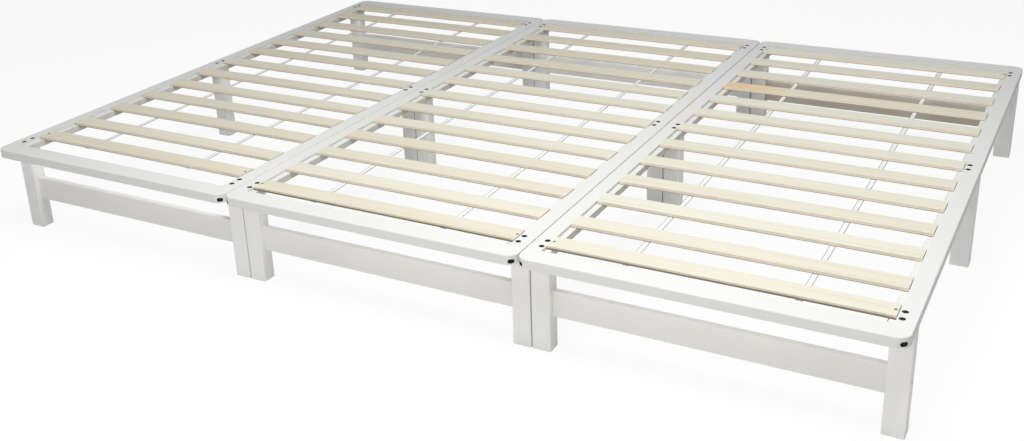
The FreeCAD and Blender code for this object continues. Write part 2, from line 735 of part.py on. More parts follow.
    def put_plate_screws(self, master, name, x, y, turn):
        """Place the two screws, or pilot holes, of a corner plate."""
        seat = "(dim.plate_thickness + dim.wood_screw_head_height)"
        swing = turn - 45
        flanges = (("side", seat, PLATE_SCREW_REACH, 180), ("end", PLATE_SCREW_REACH, seat, 270))
        placed = []
        for label, across, along, aim in flanges:
            to_x = f"{x} + cos({swing}) * {across} - sin({swing}) * {along}"
            to_y = f"{y} + sin({swing}) * {across} + cos({swing}) * {along}"
            turned = heading(swing + aim)
            placed.append(self.put(master, f"{name}_{label}", to_x, to_y, BOLT_HEIGHT, turned))
        return placed

    def corner_tools(self, piece, wanted):
        """Return the bolt and plate screw bores at some of the frame's corners."""
        tools = []
        for name, x, y, turn in self.corners():
            if name in wanted:
                label = f"{piece}_bore_{name}"
                tools.append(self.put_diagonal("bolt_bore", label, x, y, turn, f"(-{CORNER_DIAGONAL})"))
                tools += self.put_plate_screws("wood_screw_pilot", label, x, y, turn)
        return tools

    def build(self):
        """Make every piece of the module."""
        self.build_side_rails()
        self.build_end_rails()
        self.build_legs()
        self.build_stretchers()
        self.build_slats()
        self.build_fasteners()


for module in (
        Module("left", -1, "dim.slat_front_gap_wide", LEFT_STRAY_SHARES),
        Module("middle", 0, "dim.slat_front_gap", MIDDLE_STRAY_SHARES),
        Module("right", 1, "dim.slat_front_gap", RIGHT_STRAY_SHARES)):
    module.build()

doc.recompute()
for thing in doc.Objects:
    if "Invalid" in thing.State or "Error" in thing.State:
        raise RuntimeError(f"{thing.Label} could not be made")
for thing in nodes:
    if thing.Shape.isNull() or not thing.Shape.isValid():
        raise RuntimeError(f"{thing.Label} has no valid shape")

os.makedirs("parts", exist_ok=True)
for thing in nodes:
    thing.Shape.exportStep(f"parts/{thing.Label}.step")
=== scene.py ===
"""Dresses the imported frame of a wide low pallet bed: three slatted modules pushed together."""

import logging
import math
from abc import ABC, abstractmethod
from collections.abc import Sequence
from dataclasses import dataclass
from enum import Enum
from itertools import product
from typing import Self

import bmesh
import bpy
from mathutils import Matrix, Quaternion, Vector


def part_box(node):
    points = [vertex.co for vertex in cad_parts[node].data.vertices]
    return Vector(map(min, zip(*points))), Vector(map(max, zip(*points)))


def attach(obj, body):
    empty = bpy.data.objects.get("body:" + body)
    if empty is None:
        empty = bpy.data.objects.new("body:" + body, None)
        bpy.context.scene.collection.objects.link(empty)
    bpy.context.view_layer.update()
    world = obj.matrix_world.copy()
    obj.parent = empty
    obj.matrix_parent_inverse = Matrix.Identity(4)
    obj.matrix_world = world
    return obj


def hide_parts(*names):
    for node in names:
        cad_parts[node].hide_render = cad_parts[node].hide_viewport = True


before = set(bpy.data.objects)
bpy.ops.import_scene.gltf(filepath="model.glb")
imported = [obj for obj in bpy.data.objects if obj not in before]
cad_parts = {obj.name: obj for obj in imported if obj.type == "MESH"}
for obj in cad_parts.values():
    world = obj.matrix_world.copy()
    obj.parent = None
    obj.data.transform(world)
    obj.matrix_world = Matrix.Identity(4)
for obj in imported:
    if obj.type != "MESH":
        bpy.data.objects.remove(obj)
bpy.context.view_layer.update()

LOG = logging.getLogger("pallet_bed")

# Points closer than this are one point, and faces that meet more bluntly than this shade as one.
WELD = 1e-6
CREASE = math.radians(38)

# How far a cutter runs past the surface that it cuts, and how many points its rings have.
OVERRUN = 0.002
BORE_SIDES = 32
SLOT_SIDES = 48

# Number of faces across a rounded edge of a board.
EDGE_STEPS = 4

# The rails meet at this angle. A length that lies so has this share of itself on each axis.
MITRE = math.radians(45)
DIAGONAL = math.sqrt(0.5)

# Solids are put in order by so many digits of their corners, in metres.
ORDER_DIGITS = 5

# A face looks along an axis from this share of its normal on.
FACING = 0.8
FACING_SQUARE = 0.9

UP = Vector((0, 0, 1))

# Numbers that a mesh carries for its tree and its finish.
WORN_EDGE = "worn_edge"
# Marks the rails' inner faces, which take painted shade.
INNER_SHADE = "thin_coat"
AIM = "aim"
TONE = "tone"
WARMTH = "warmth"
STAIN = "stain"
# Marks the slats whose edges take a wider band of painted shade.
SHADE_BAND = "dark_core"
ALONG = "along"
ACROSS = "across"
RISE = "rise"
EDGE_FACE = "edge_face"
END_FACE = "end_face"

Shape = bmesh.types.BMesh
Mesh = bpy.types.Mesh
Socket = bpy.types.NodeSocket
Span = tuple[float, float]
Place = tuple[float, float, float]
Colour = tuple[float, float, float, float]
Feed = Socket | float | int | bool | tuple | None
Spots = list[tuple[Vector, Vector]]

WHITE: Colour = (1, 1, 1, 1)

# The band of a random pattern that a finish's roughness follows.
ROUGH_BAND: Span = (0.2, 0.8)


class Module(Enum):
    """The three modules, left to right, by the body that each one is."""

    LEFT = "left_module"
    MIDDLE = "middle_module"
    RIGHT = "right_module"

    def node(self, piece: str) -> str:
        """Name of this module's CAD node for a piece."""
        return f"{self.value}_{piece}"


class Slot(Enum):
    """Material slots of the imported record."""

    WHITE_PAINT = "white_paint"
    SLAT_WOOD = "slat_wood"
    WEBBING = "webbing"
    BLACK_STEEL = "black_steel"
    ZINC_STEEL = "zinc_steel"
    DOWEL_WOOD = "dowel_wood"


class Along(Enum):
    """The axis that a board or its grain follows."""

    X = 0
    Y = 1
    Z = 2

    def stretch(self, length: float, width: float) -> Place:
        """Scale of a pattern whose marks have that length along the grain and width across it."""
        return tuple(1 / length if axis == self.value else 1 / width for axis in range(3))


class Coat(Enum):
    """Tones of the one white paint: painted shade and light, darker on the rails and lighter on the
    legs for how light falls on each, and a darker, browner tone.
    """

    # Painted shade and light: one white paint, set darker on the rails, lighter on the stretchers
    # and lightest on the legs.
    RAILS = (0.722, 0.72, 0.704, 1)
    LEGS = (0.93, 0.93, 0.915, 1)
    STRETCHERS = (0.855, 0.85, 0.832, 1)
    # A darker, browner tone, given to the right module's rear stretcher.
    BROWNED = (0.48, 0.428, 0.35, 1)


class Outline(Enum):
    """Cross-section of one ring of a turned piece."""

    ROUND = "round"
    HEX = "hex"
    CROSS = "cross"
    SLOT = "slot"

    def reach(self, angle: float) -> float:
        """Distance to the outline at an angle, as a share of its largest radius.

        Args:
            angle: Angle about the axis.

        Returns:
            Share of the ring's radius.
        """
        if self is Outline.HEX:
            return math.cos(math.pi / 6) / math.cos(angle % (math.pi / 3) - math.pi / 6)
        if self is Outline.CROSS:
            arm = 0.27
            turn = abs((angle + math.pi / 4) % (math.pi / 2) - math.pi / 4)
            return min(1 / math.cos(turn), arm / max(math.sin(turn), WELD))
        if self is Outline.SLOT:
            half, run, rise = 0.66, abs(math.cos(angle)), abs(math.sin(angle))
            if rise * (1 - half) > half * run:
                return half / rise
            return (1 - half) * run + math.sqrt(half**2 - ((1 - half) * rise) ** 2)
        return 1.0


# ---------------------------------------------------------------- meshes


@dataclass(frozen=True)
class Solid:
    """Box of one separate solid inside a CAD node."""

    low: Vector
    high: Vector

    @property
    def centre(self) -> Vector:
        """Middle of the box."""
        return (self.low + self.high) / 2

    @property
    def size(self) -> Vector:
        """Length of the box on each axis."""
        return self.high - self.low

    def at_height(self, height: float) -> Vector:
        """The box's middle in plan, at a height."""
        return Vector((self.centre.x, self.centre.y, height))


@dataclass(frozen=True)
class Ring:
    """One ring of a turned piece: radius, place along the axis and cross-section."""

    radius: float
    height: float
    outline: Outline = Outline.ROUND


def solids(node: str) -> list[Solid]:
    """Finds the separate solids of a CAD node.

    Args:
        node: Name of the CAD node.

    Returns:
        The box of each solid, in a fixed order.
    """
    mesh = bmesh.new()
    mesh.from_mesh(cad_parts[node].data)
    bmesh.ops.remove_doubles(mesh, verts=mesh.verts, dist=WELD)
    unseen = set(mesh.verts)
    found = []
    while unseen:
        waiting = [unseen.pop()]
        points = []
        while waiting:
            vert = waiting.pop()
            points.append(vert.co.copy())
            linked = {edge.other_vert(vert) for edge in vert.link_edges} & unseen
            unseen -= linked
            waiting.extend(linked)
        columns = list(zip(*points))
        found.append(Solid(Vector(map(min, columns)), Vector(map(max, columns))))
    mesh.free()
    return sorted(found, key=lambda solid: [round(value, ORDER_DIGITS) for value in solid.low])


def new_object(name: str, data: bpy.types.ID) -> bpy.types.Object:
    """Puts a mesh, curve, lamp or camera into the scene as an object at the origin.

    Args:
        name: Name of the object.
        data: The mesh, curve, lamp or camera.

    Returns:
        The object.
    """
    made = bpy.data.objects.new(name, data)
    bpy.context.scene.collection.objects.link(made)
    return made


def from_bmesh(shape: Shape, name: str) -> Mesh:
    """Turns an edited shape into a mesh and frees it.

    Args:
        shape: The edited shape.
        name: Name of the mesh.

    Returns:
        The mesh, with its faces outwards.
    """
    bmesh.ops.recalc_face_normals(shape, faces=shape.faces)
    mesh = bpy.data.meshes.new(name)
    shape.to_mesh(mesh)
    shape.free()
    return mesh


def baked(piece: bpy.types.Object) -> Mesh:
    """Applies an object's modifiers and clears the object away.

    Args:
        piece: The object.

    Returns:
        Its mesh as the modifiers leave it.
    """
    graph = bpy.context.evaluated_depsgraph_get()
    mesh = bpy.data.meshes.new_from_object(
        piece.evaluated_get(graph), preserve_all_data_layers=True, depsgraph=graph
    )
    bpy.data.objects.remove(piece)
    return mesh


def carve(mesh: Mesh, cutter: Shape) -> Mesh:
    """Cuts holes and steps out of a mesh.

    Args:
        mesh: The mesh to cut.
        cutter: The closed shapes to take away.

    Returns:
        The cut mesh.
    """
    tool = new_object("cutter", from_bmesh(cutter, "cutter"))
    piece = new_object("carving", mesh)
    cut = piece.modifiers.new("cut", "BOOLEAN")
    cut.operation = "DIFFERENCE"
    cut.solver = "EXACT"
    cut.object = tool
    result = baked(piece)
    bpy.data.objects.remove(tool)
    return result


def soften(mesh: Mesh) -> Mesh:
    """Shades a mesh smoothly over its rounded edges and keeps its flat faces flat.

    Args:
        mesh: The mesh to shade.

    Returns:
        The shaded mesh.
    """
    mesh.shade_smooth()
    mesh.set_sharp_from_angle(angle=CREASE)
    piece = new_object("softening", mesh)
    piece.modifiers.new("flat faces", "WEIGHTED_NORMAL").keep_sharp = True
    return baked(piece)


def add_box(shape: Shape, low: Sequence[float], high: Sequence[float]) -> None:
    """Adds a box between its lowest and its highest corner to a shape."""
    for vert in bmesh.ops.create_cube(shape, size=1)["verts"]:
        vert.co = [high[axis] if vert.co[axis] > 0 else low[axis] for axis in range(3)]


def round_edges(shape: Shape, edges: list[bmesh.types.BMEdge], radius: float, steps: int) -> None:
    """Rounds some edges and marks the new faces as the ones that wear first.

    Args:
        shape: The shape that the edges belong to.
        edges: The edges to round.
        radius: Radius of the rounding.
        steps: Number of faces across it.
    """
    layers = shape.faces.layers.float
    layer = layers.get(WORN_EDGE) or layers.new(WORN_EDGE)
    made = bmesh.ops.bevel(
        shape,
        geom=edges,
        offset=radius,
        offset_type="OFFSET",
        segments=steps,
        profile=0.5,
        affect="EDGES",
        clamp_overlap=True,
    )
    for face in made["faces"]:
        face[layer] = 1.0


def eased_board(
    low: Vector, high: Vector, along: Along, edge_round: float, eases: Span, ease_steps: int
) -> Shape:
    """Makes a board or post with rounded long edges and eased ends.

    Args:
        low: Its lowest corner.
        high: Its highest corner.
        along: The axis that it runs on.
        edge_round: Radius of its long edges.
        eases: Radius of the rims of its low and its high end.
        ease_steps: Number of faces across a rim.

    Returns:
        The shape.
    """
    way = along.value
    shape = bmesh.new()
    add_box(shape, low, high)
    long = []
    for edge in shape.edges:
        first, second = (vert.co[way] for vert in edge.verts)
        if abs(first - second) > WELD:
            long.append(edge)
    round_edges(shape, long, edge_round, EDGE_STEPS)
    for level, ease in zip((low[way], high[way]), eases):
        rim = [
            edge
            for edge in shape.edges
            if all(abs(vert.co[way] - level) < WELD for vert in edge.verts)
        ]
        round_edges(shape, rim, ease, ease_steps)
    return shape


def add_turned(
    shape: Shape,
    rings: Sequence[Ring],
    sides: int,
    at: Vector = Vector(),
    aim: Vector = UP,
) -> None:
    """Adds a closed turned piece to a shape.

    Args:
        shape: The shape to add to.
        rings: The rings in order, from one end of the surface to the other.
        sides: Number of points in a ring.
        at: Where the axis starts.
        aim: The way that the axis points.
    """
    turn = aim.to_track_quat("Z", "Y").to_matrix()
    loops = []
    for ring in rings:
        loop = []
        for side in range(sides):
            angle = math.tau * side / sides
            reach = ring.radius * ring.outline.reach(angle)
            spot = Vector((reach * math.cos(angle), reach * math.sin(angle), ring.height))
            loop.append(shape.verts.new(at + turn @ spot))
        loops.append(loop)
    for first, second in zip(loops, loops[1:]):
        for side in range(sides):
            after = (side + 1) % sides
            shape.faces.new((first[side], first[after], second[after], second[side]))
    shape.faces.new(loops[0])
    shape.faces.new(loops[-1])


# ---------------------------------------------------------------- node trees


@dataclass(frozen=True)
class Marks:
    """Soft random marks: length along the grain, width across it, finer layers and twist."""

    length: float
    width: float
    detail: float
    twist: float = 0.0


class NodeBench:
    """Places nodes in one node tree and joins them."""

    def __init__(self, tree: bpy.types.NodeTree) -> None:
        """Works on the given tree."""
        self.tree = tree

    @classmethod
    def cleared(cls, owner: bpy.types.Material | bpy.types.World) -> Self:
        """The bench of a material or a world, with no nodes on it yet.

        Args:
            owner: The material or world.

        Returns:
            The bench.
        """
        owner.use_nodes = True
        owner.node_tree.nodes.clear()
        return cls(owner.node_tree)

    def add(
        self, kind: str, feeds: dict[str | int, Feed] | None = None, **options: object
    ) -> bpy.types.Node:
        """Adds a node, sets its options and feeds its inputs.

        Args:
            kind: Blender's name for the type of node.
            feeds: What each input takes, by its name or place: another node's output or a value.
            options: The node's own settings.

        Returns:
            The new node.
        """
        node = self.tree.nodes.new(kind)
        for option, value in options.items():
            setattr(node, option, value)
        for key, value in (feeds or {}).items():
            if isinstance(value, Socket):
                self.tree.links.new(value, node.inputs[key])
            else:
                node.inputs[key].default_value = value
        return node

    def math(self, operation: str, *numbers: Feed) -> Socket:
        """Output of a sum, product or other step on one, two or three numbers."""
        return self.add("ShaderNodeMath", dict(enumerate(numbers)), operation=operation).outputs[0]

    def times(self, first: Feed, second: Feed) -> Socket:
        """Product of two numbers."""
        return self.math("MULTIPLY", first, second)

    def plus(self, first: Feed, second: Feed) -> Socket:
        """Sum of two numbers."""
        return self.math("ADD", first, second)

    def minus(self, first: Feed, second: Feed) -> Socket:
        """Difference of two numbers."""
        return self.math("SUBTRACT", first, second)


class ShaderBench(NodeBench):
    """Places the nodes of one material."""

    def place(self) -> Socket:
        """The piece's own coordinates."""
        return self.add("ShaderNodeTexCoord").outputs["Object"]

    def spot(self, scale: Place) -> Socket:
        """The piece's own coordinates, scaled on each axis."""
        return self.add("ShaderNodeMapping", {"Vector": self.place(), "Scale": scale}).outputs[0]

    def marks(self, marks: Marks, along: Along = Along.X, seed: Feed = 0.0) -> Socket:
        """Soft random marks.

        Args:
            marks: Their size, detail and twist.
            along: The axis that they are drawn out on.
            seed: Number that picks one of many patterns.

        Returns:
            A number from 0 to 1.
        """
        feeds = {
            "Vector": self.spot(along.stretch(marks.length, marks.width)),
            "W": seed,
            "Scale": 1.0,
            "Detail": marks.detail,
            "Distortion": marks.twist,
        }
        return self.add("ShaderNodeTexNoise", feeds, noise_dimensions="4D").outputs["Fac"]

    def step(self, value: Feed, band: Span, levels: Span = (0.0, 1.0)) -> Socket:
        """Smooth step between two levels.

        Args:
            value: The number to read.
            band: Where the step starts and ends.
            levels: Result up to its start and from its end on.

        Returns:
            The stepped number.
        """
        names = ("From Min", "From Max", "To Min", "To Max")
        feeds = {"Value": value, **dict(zip(names, (*band, *levels)))}
        return self.add("ShaderNodeMapRange", feeds, interpolation_type="SMOOTHSTEP").outputs[0]

    def blend(self, share: Feed, first: Feed, second: Feed) -> Socket:
        """Colour between two others, fed by the places of the mix node's colour inputs."""
        feeds = {0: share, 6: first, 7: second}
        return self.add("ShaderNodeMix", feeds, data_type="RGBA").outputs[2]

    def mark(self, name: str) -> Socket:
        """A number that the mesh carries."""
        return self.add("ShaderNodeAttribute", attribute_name=name).outputs["Fac"]

    def bump(self, height: Feed, relief: Span, normal: Feed = None) -> Socket:
        """Fine relief.

        Args:
            height: Height from 0 to 1.
            relief: Depth of the relief in metres, and the share of it that shows.
            normal: Relief to add to.

        Returns:
            The bent normal.
        """
        feeds = {"Height": height, "Distance": relief[0], "Strength": relief[1]}
        if normal is not None:
            feeds["Normal"] = normal
        return self.add("ShaderNodeBump", feeds).outputs[0]


# ---------------------------------------------------------------- finishes


@dataclass(frozen=True)
class Finish(ABC):
    """Look of one kind of surface, for one slot of the record."""

    slot: Slot

    @property
    def name(self) -> str:
        """Name of the material."""
        return f"{self.slot.value}_finish"

    @abstractmethod
    def look(self, bench: ShaderBench) -> dict[str, Feed]:
        """Adds the nodes of the look.

        Args:
            bench: The material's nodes.

        Returns:
            What each input of the surface shader takes.
        """

    def material(self) -> bpy.types.Material:
        """The material, made on first use.

        Returns:
            The material.
        """
        known = bpy.data.materials.get(self.name)
        if known:
            return known
        made = bpy.data.materials.new(self.name)
        bench = ShaderBench.cleared(made)
        surface = bench.add("ShaderNodeBsdfPrincipled", self.look(bench))
        bench.add("ShaderNodeOutputMaterial", {"Surface": surface.outputs[0]})
        return made


@dataclass(frozen=True)
class WhitePaint(Finish):
    """Matt white paint, through which the board's grain just shows, with painted shade on the
    rails' inner faces.
    """

    slot: Slot = Slot.WHITE_PAINT
    along: Along = Along.X
    coat: Coat = Coat.RAILS
    shade: Colour = (0.72, 0.712, 0.695, 1)
    rubbed: Colour = (0.52, 0.49, 0.44, 1)
    # Painted shade on the rails' inner faces inside the frame, where shade falls under the slats.
    thin_coat: Colour = (0.50, 0.455, 0.41, 1)
    inner_shade_share: float = 0.5
    grain: Marks = Marks(0.20, 0.0022, 3.0)
    grain_band: Span = (0.55, 0.8)
    grain_share: float = 0.22
    grain_relief: Span = (0.0005, 0.22)
    cloud: Marks = Marks(0.35, 0.35, 2.0)
    cloud_band: Span = (0.4, 0.75)
    cloud_levels: Span = (0.0, 0.35)
    rub: Marks = Marks(0.012, 0.012, 4.0)
    rub_band: Span = (0.58, 0.80)
    rub_levels: Span = (0.02, 0.16)
    stipple: Marks = Marks(0.0012, 0.0012, 1.0)
    stipple_relief: Span = (0.0002, 0.12)
    roughness: Span = (0.48, 0.62)
    shine: float = 0.08

    @property
    def name(self) -> str:
        """Name of the material."""
        return f"{self.slot.value}_{self.coat.name.lower()}_along_{self.along.name.lower()}"

    def look(self, bench: ShaderBench) -> dict[str, Feed]:
        """Adds the nodes of the look.

        Args:
            bench: The material's nodes.

        Returns:
            What each input of the surface shader takes.
        """
        grain = bench.marks(self.grain, self.along)
        cloud = bench.marks(self.cloud)
        rub = bench.marks(self.rub)
        stipple = bench.marks(self.stipple)
        thin = bench.times(bench.step(grain, self.grain_band), self.grain_share)
        uneven = bench.plus(thin, bench.step(cloud, self.cloud_band, self.cloud_levels))
        coat = bench.blend(uneven, self.coat.value, self.shade)
        # Painted shade on the marked inner faces.
        inner_shading = bench.times(bench.mark(INNER_SHADE), self.inner_shade_share)
        coat = bench.blend(inner_shading, coat, self.thin_coat)
        bare = bench.times(bench.mark(WORN_EDGE), bench.step(rub, self.rub_band, self.rub_levels))
        relief = bench.bump(grain, self.grain_relief)
        return {
            "Base Color": bench.blend(bare, coat, self.rubbed),
            "Roughness": bench.step(rub, ROUGH_BAND, self.roughness),
            "Specular IOR Level": self.shine,
            "Normal": bench.bump(stipple, self.stipple_relief, relief),
        }


@dataclass(frozen=True)
class SlatTimber(Finish):
    """Raw pale layered timber: cream faces, edges that show the layers over painted shade along
    their undersides, and a few small knots.
    """

    slot: Slot = Slot.SLAT_WOOD
    cream: Colour = (0.755, 0.755, 0.665, 1)
    straw: Colour = (0.66, 0.61, 0.48, 1)
    amber: Colour = (0.74, 0.50, 0.245, 1)
    knot: Colour = (0.28, 0.165, 0.085, 1)
    # The two lowest stops are painted shade along the underside of the edge; the darker bands above
    # are the glue lines between plies.
    layers: tuple[tuple[float, Colour], ...] = (
        (0.00, (0.17, 0.130, 0.090, 1)),
        (0.17, (0.30, 0.240, 0.170, 1)),
        (0.26, (0.84, 0.745, 0.600, 1)),
        (0.48, (0.88, 0.800, 0.665, 1)),
        (0.56, (0.62, 0.525, 0.395, 1)),
        (0.66, (0.86, 0.780, 0.640, 1)),
        (0.80, (0.70, 0.610, 0.470, 1)),
        (0.92, (0.88, 0.840, 0.720, 1)),
    )
    patterns: float = 40.0
    tone_share: float = 0.42
    streak_band: Span = (0.45, 0.75)
    grain: Marks = Marks(0.30, 0.0016, 4.0)
    grain_share: float = 0.35
    grain_relief: Span = (0.0004, 0.30)
    figure: Marks = Marks(0.55, 0.016, 2.0, 0.6)
    figure_share: float = 0.45
    knot_length: float = 0.20
    knot_width: float = 0.07
    knot_band: Span = (0.05, 0.13)
    knot_levels: Span = (0.8, 0.0)
    knot_rarity: Span = (0.86, 0.88)
    stain_reach: Span = (-0.9, -0.35)
    stain_levels: Span = (0.75, 0.12)
    drift: Marks = Marks(0.12, 0.02, 2.0)
    waver: float = 0.22
    fleck: Marks = Marks(0.05, 0.0012, 3.0)
    fleck_levels: Span = (0.0, 0.4)
    # How far a marked slat's painted shade climbs up its edge.
    shade_band_rise: float = 0.32
    edge_share: float = 0.9
    end_share: float = 0.45
    roughness: Span = (0.58, 0.76)
    shine: float = 0.35

    def edge(self, bench: ShaderBench, seed: Feed) -> Socket:
        """Colour of the cut layers on an edge, with painted shade along its underside.

        Args:
            bench: The material's nodes.
            seed: Number that picks the slat's own pattern.

        Returns:
            The colour.
        """
        level = bench.math("MULTIPLY_ADD", bench.mark(RISE), 0.5, 0.5)
        # A marked slat takes the painted shade higher up its edge.
        level = bench.minus(level, bench.times(bench.mark(SHADE_BAND), self.shade_band_rise))
        drift = bench.minus(bench.marks(self.drift, seed=seed), 0.5)
        level = bench.plus(level, bench.times(drift, self.waver))
        ramp = bench.add("ShaderNodeValToRGB", {0: level})
        stops = ramp.color_ramp.elements
        while len(stops) < len(self.layers):
            stops.new(1.0)
        for stop, (place, colour) in zip(stops, self.layers):
            stop.position, stop.color = place, colour
        fleck = bench.step(bench.marks(self.fleck, seed=seed), self.streak_band, self.fleck_levels)
        return bench.blend(fleck, ramp.outputs[0], self.straw)

    def look(self, bench: ShaderBench) -> dict[str, Feed]:
        """Adds the nodes of the look.

        Args:
            bench: The material's nodes.

        Returns:
            What each input of the surface shader takes.
        """
        tone = bench.mark(TONE)
        seed = bench.times(tone, self.patterns)
        grain = bench.marks(self.grain, seed=seed)
        figure = bench.marks(self.figure, seed=seed)
        streak = bench.times(bench.step(figure, self.streak_band), self.figure_share)
        fine = bench.times(bench.step(grain, self.streak_band), self.grain_share)
        share = bench.plus(bench.plus(streak, fine), bench.times(tone, self.tone_share))
        face = bench.blend(bench.plus(share, bench.mark(WARMTH)), self.cream, self.straw)
        knot_at = bench.spot((1 / self.knot_length, 1 / self.knot_width, 1.0))
        knots = bench.add(
            "ShaderNodeTexVoronoi",
            {"Vector": knot_at, "W": seed, "Scale": 1.0},
            voronoi_dimensions="4D",
        )
        rare = bench.add("ShaderNodeSeparateColor", {0: knots.outputs["Color"]}).outputs[0]
        ring = bench.step(knots.outputs["Distance"], self.knot_band, self.knot_levels)
        face = bench.blend(bench.times(ring, bench.step(rare, self.knot_rarity)), face, self.knot)
        end = bench.step(bench.mark(ALONG), self.stain_reach, self.stain_levels)
        face = bench.blend(bench.times(bench.mark(STAIN), end), face, self.amber)
        ends = bench.times(bench.mark(END_FACE), self.end_share)
        sides = bench.times(bench.math("MAXIMUM", bench.mark(EDGE_FACE), ends), self.edge_share)
        return {
            "Base Color": bench.blend(sides, face, self.edge(bench, seed)),
            "Roughness": bench.step(grain, ROUGH_BAND, self.roughness),
            "Normal": bench.bump(grain, self.grain_relief),
            "Specular IOR Level": self.shine,
        }


@dataclass(frozen=True)
class Webbing(Finish):
    """Off-white woven tape, with painted shade in the hollows of its weave and along its edges."""

    slot: Slot = Slot.WEBBING
    thread: Colour = (0.92, 0.92, 0.90, 1)
    # Painted shade in the hollows of the weave, and the colour that dirt darkens the tape towards.
    hollow_shade_and_dirt: Colour = (0.78, 0.78, 0.765, 1)
    # Painted shade along both edges of the tape.
    edge_shade: Colour = (0.24, 0.235, 0.23, 1)
    warp_pitch: float = 0.0015
    weft_pitch: float = 0.0011
    fuzz: Marks = Marks(0.0006, 0.0006, 2.0)
    dirt: Marks = Marks(1 / 3, 1 / 12, 2.0)
    dirt_band: Span = (0.2, 0.7)
    dirt_levels: Span = (0.75, 1.0)
    edge_shade_band: Span = (0.70, 0.80)
    edge_shade_levels: Span = (0.0, 0.9)
    relief: Span = (0.0004, 0.5)
    roughness: Span = (0.72, 0.92)
    sheen: float = 0.15

    def look(self, bench: ShaderBench) -> dict[str, Feed]:
        """Adds the nodes of the look.

        Args:
            bench: The material's nodes.

        Returns:
            What each input of the surface shader takes.
        """
        parts = bench.add("ShaderNodeSeparateXYZ", {0: bench.place()}).outputs
        across = bench.math("SINE", bench.times(parts["X"], math.tau / self.warp_pitch))
        run = bench.math("SINE", bench.times(parts["Y"], math.tau / self.weft_pitch))
        weave = bench.step(bench.times(across, run), (-1.0, 1.0))
        fuzz = bench.marks(self.fuzz)
        dirt = bench.step(bench.marks(self.dirt, Along.Y), self.dirt_band, self.dirt_levels)
        # The weave's hollows take painted shade; dirt darkens towards the same colour.
        cloth = bench.blend(bench.times(weave, dirt), self.hollow_shade_and_dirt, self.thread)
        edge = bench.math("ABSOLUTE", bench.mark(ACROSS))
        # Painted shade along both edges.
        rim = bench.step(edge, self.edge_shade_band, self.edge_shade_levels)
        return {
            "Base Color": bench.blend(rim, cloth, self.edge_shade),
            "Roughness": bench.step(fuzz, ROUGH_BAND, self.roughness),
            "Normal": bench.bump(bench.plus(weave, fuzz), self.relief),
            "Sheen Weight": self.sheen,
        }


@dataclass(frozen=True)
class Steel(Finish):
    """Bare or blackened steel with a slightly mottled, scuffed surface."""

    slot: Slot = Slot.BLACK_STEEL
    dull: Colour = (0.012, 0.012, 0.013, 1)
    bright: Colour = (0.045, 0.044, 0.043, 1)
    roughness: Span = (0.45, 0.65)
    mottle: Marks = Marks(0.002, 0.002, 3.0)
    mottle_band: Span = (0.35, 0.7)
    scuff: Marks = Marks(0.0004, 0.0004, 2.0)
    scuff_band: Span = (0.25, 0.75)
    scuff_relief: Span = (0.0001, 0.2)
    metal: float = 0.0
    shine: float = 0.2

    def look(self, bench: ShaderBench) -> dict[str, Feed]:
        """Adds the nodes of the look.

        Args:
            bench: The material's nodes.

        Returns:
            What each input of the surface shader takes.
        """
        mottle = bench.step(bench.marks(self.mottle), self.mottle_band)
        scuff = bench.marks(self.scuff)
        return {
            "Base Color": bench.blend(mottle, self.dull, self.bright),
            "Metallic": self.metal,
            "Specular IOR Level": self.shine,
            "Roughness": bench.step(scuff, self.scuff_band, self.roughness),
            "Normal": bench.bump(scuff, self.scuff_relief),
        }


@dataclass(frozen=True)
class DowelTimber(Finish):
    """Beech dowel with fine flecks along its length."""

    slot: Slot = Slot.DOWEL_WOOD
    pale: Colour = (0.60, 0.42, 0.25, 1)
    dark: Colour = (0.42, 0.26, 0.14, 1)
    fleck: Marks = Marks(0.006, 0.0007, 3.0)
    fleck_band: Span = (0.45, 0.75)
    relief: Span = (0.0002, 0.3)
    roughness: Span = (0.5, 0.7)

    def look(self, bench: ShaderBench) -> dict[str, Feed]:
        """Adds the nodes of the look.

        Args:
            bench: The material's nodes.

        Returns:
            What each input of the surface shader takes.
        """
        fleck = bench.marks(self.fleck)
        return {
            "Base Color": bench.blend(bench.step(fleck, self.fleck_band), self.pale, self.dark),
            "Roughness": bench.step(fleck, ROUGH_BAND, self.roughness),
            "Normal": bench.bump(fleck, self.relief),
        }


BLACK_STEEL = Steel()
ZINC_STEEL = Steel(
    slot=Slot.ZINC_STEEL,
    dull=(0.42, 0.43, 0.45, 1),
    bright=(0.62, 0.63, 0.64, 1),
    roughness=(0.28, 0.46),
    mottle=Marks(0.004, 0.004, 3.0),
    metal=0.9,
    shine=0.5,
)


# ---------------------------------------------------------------- repeated pieces


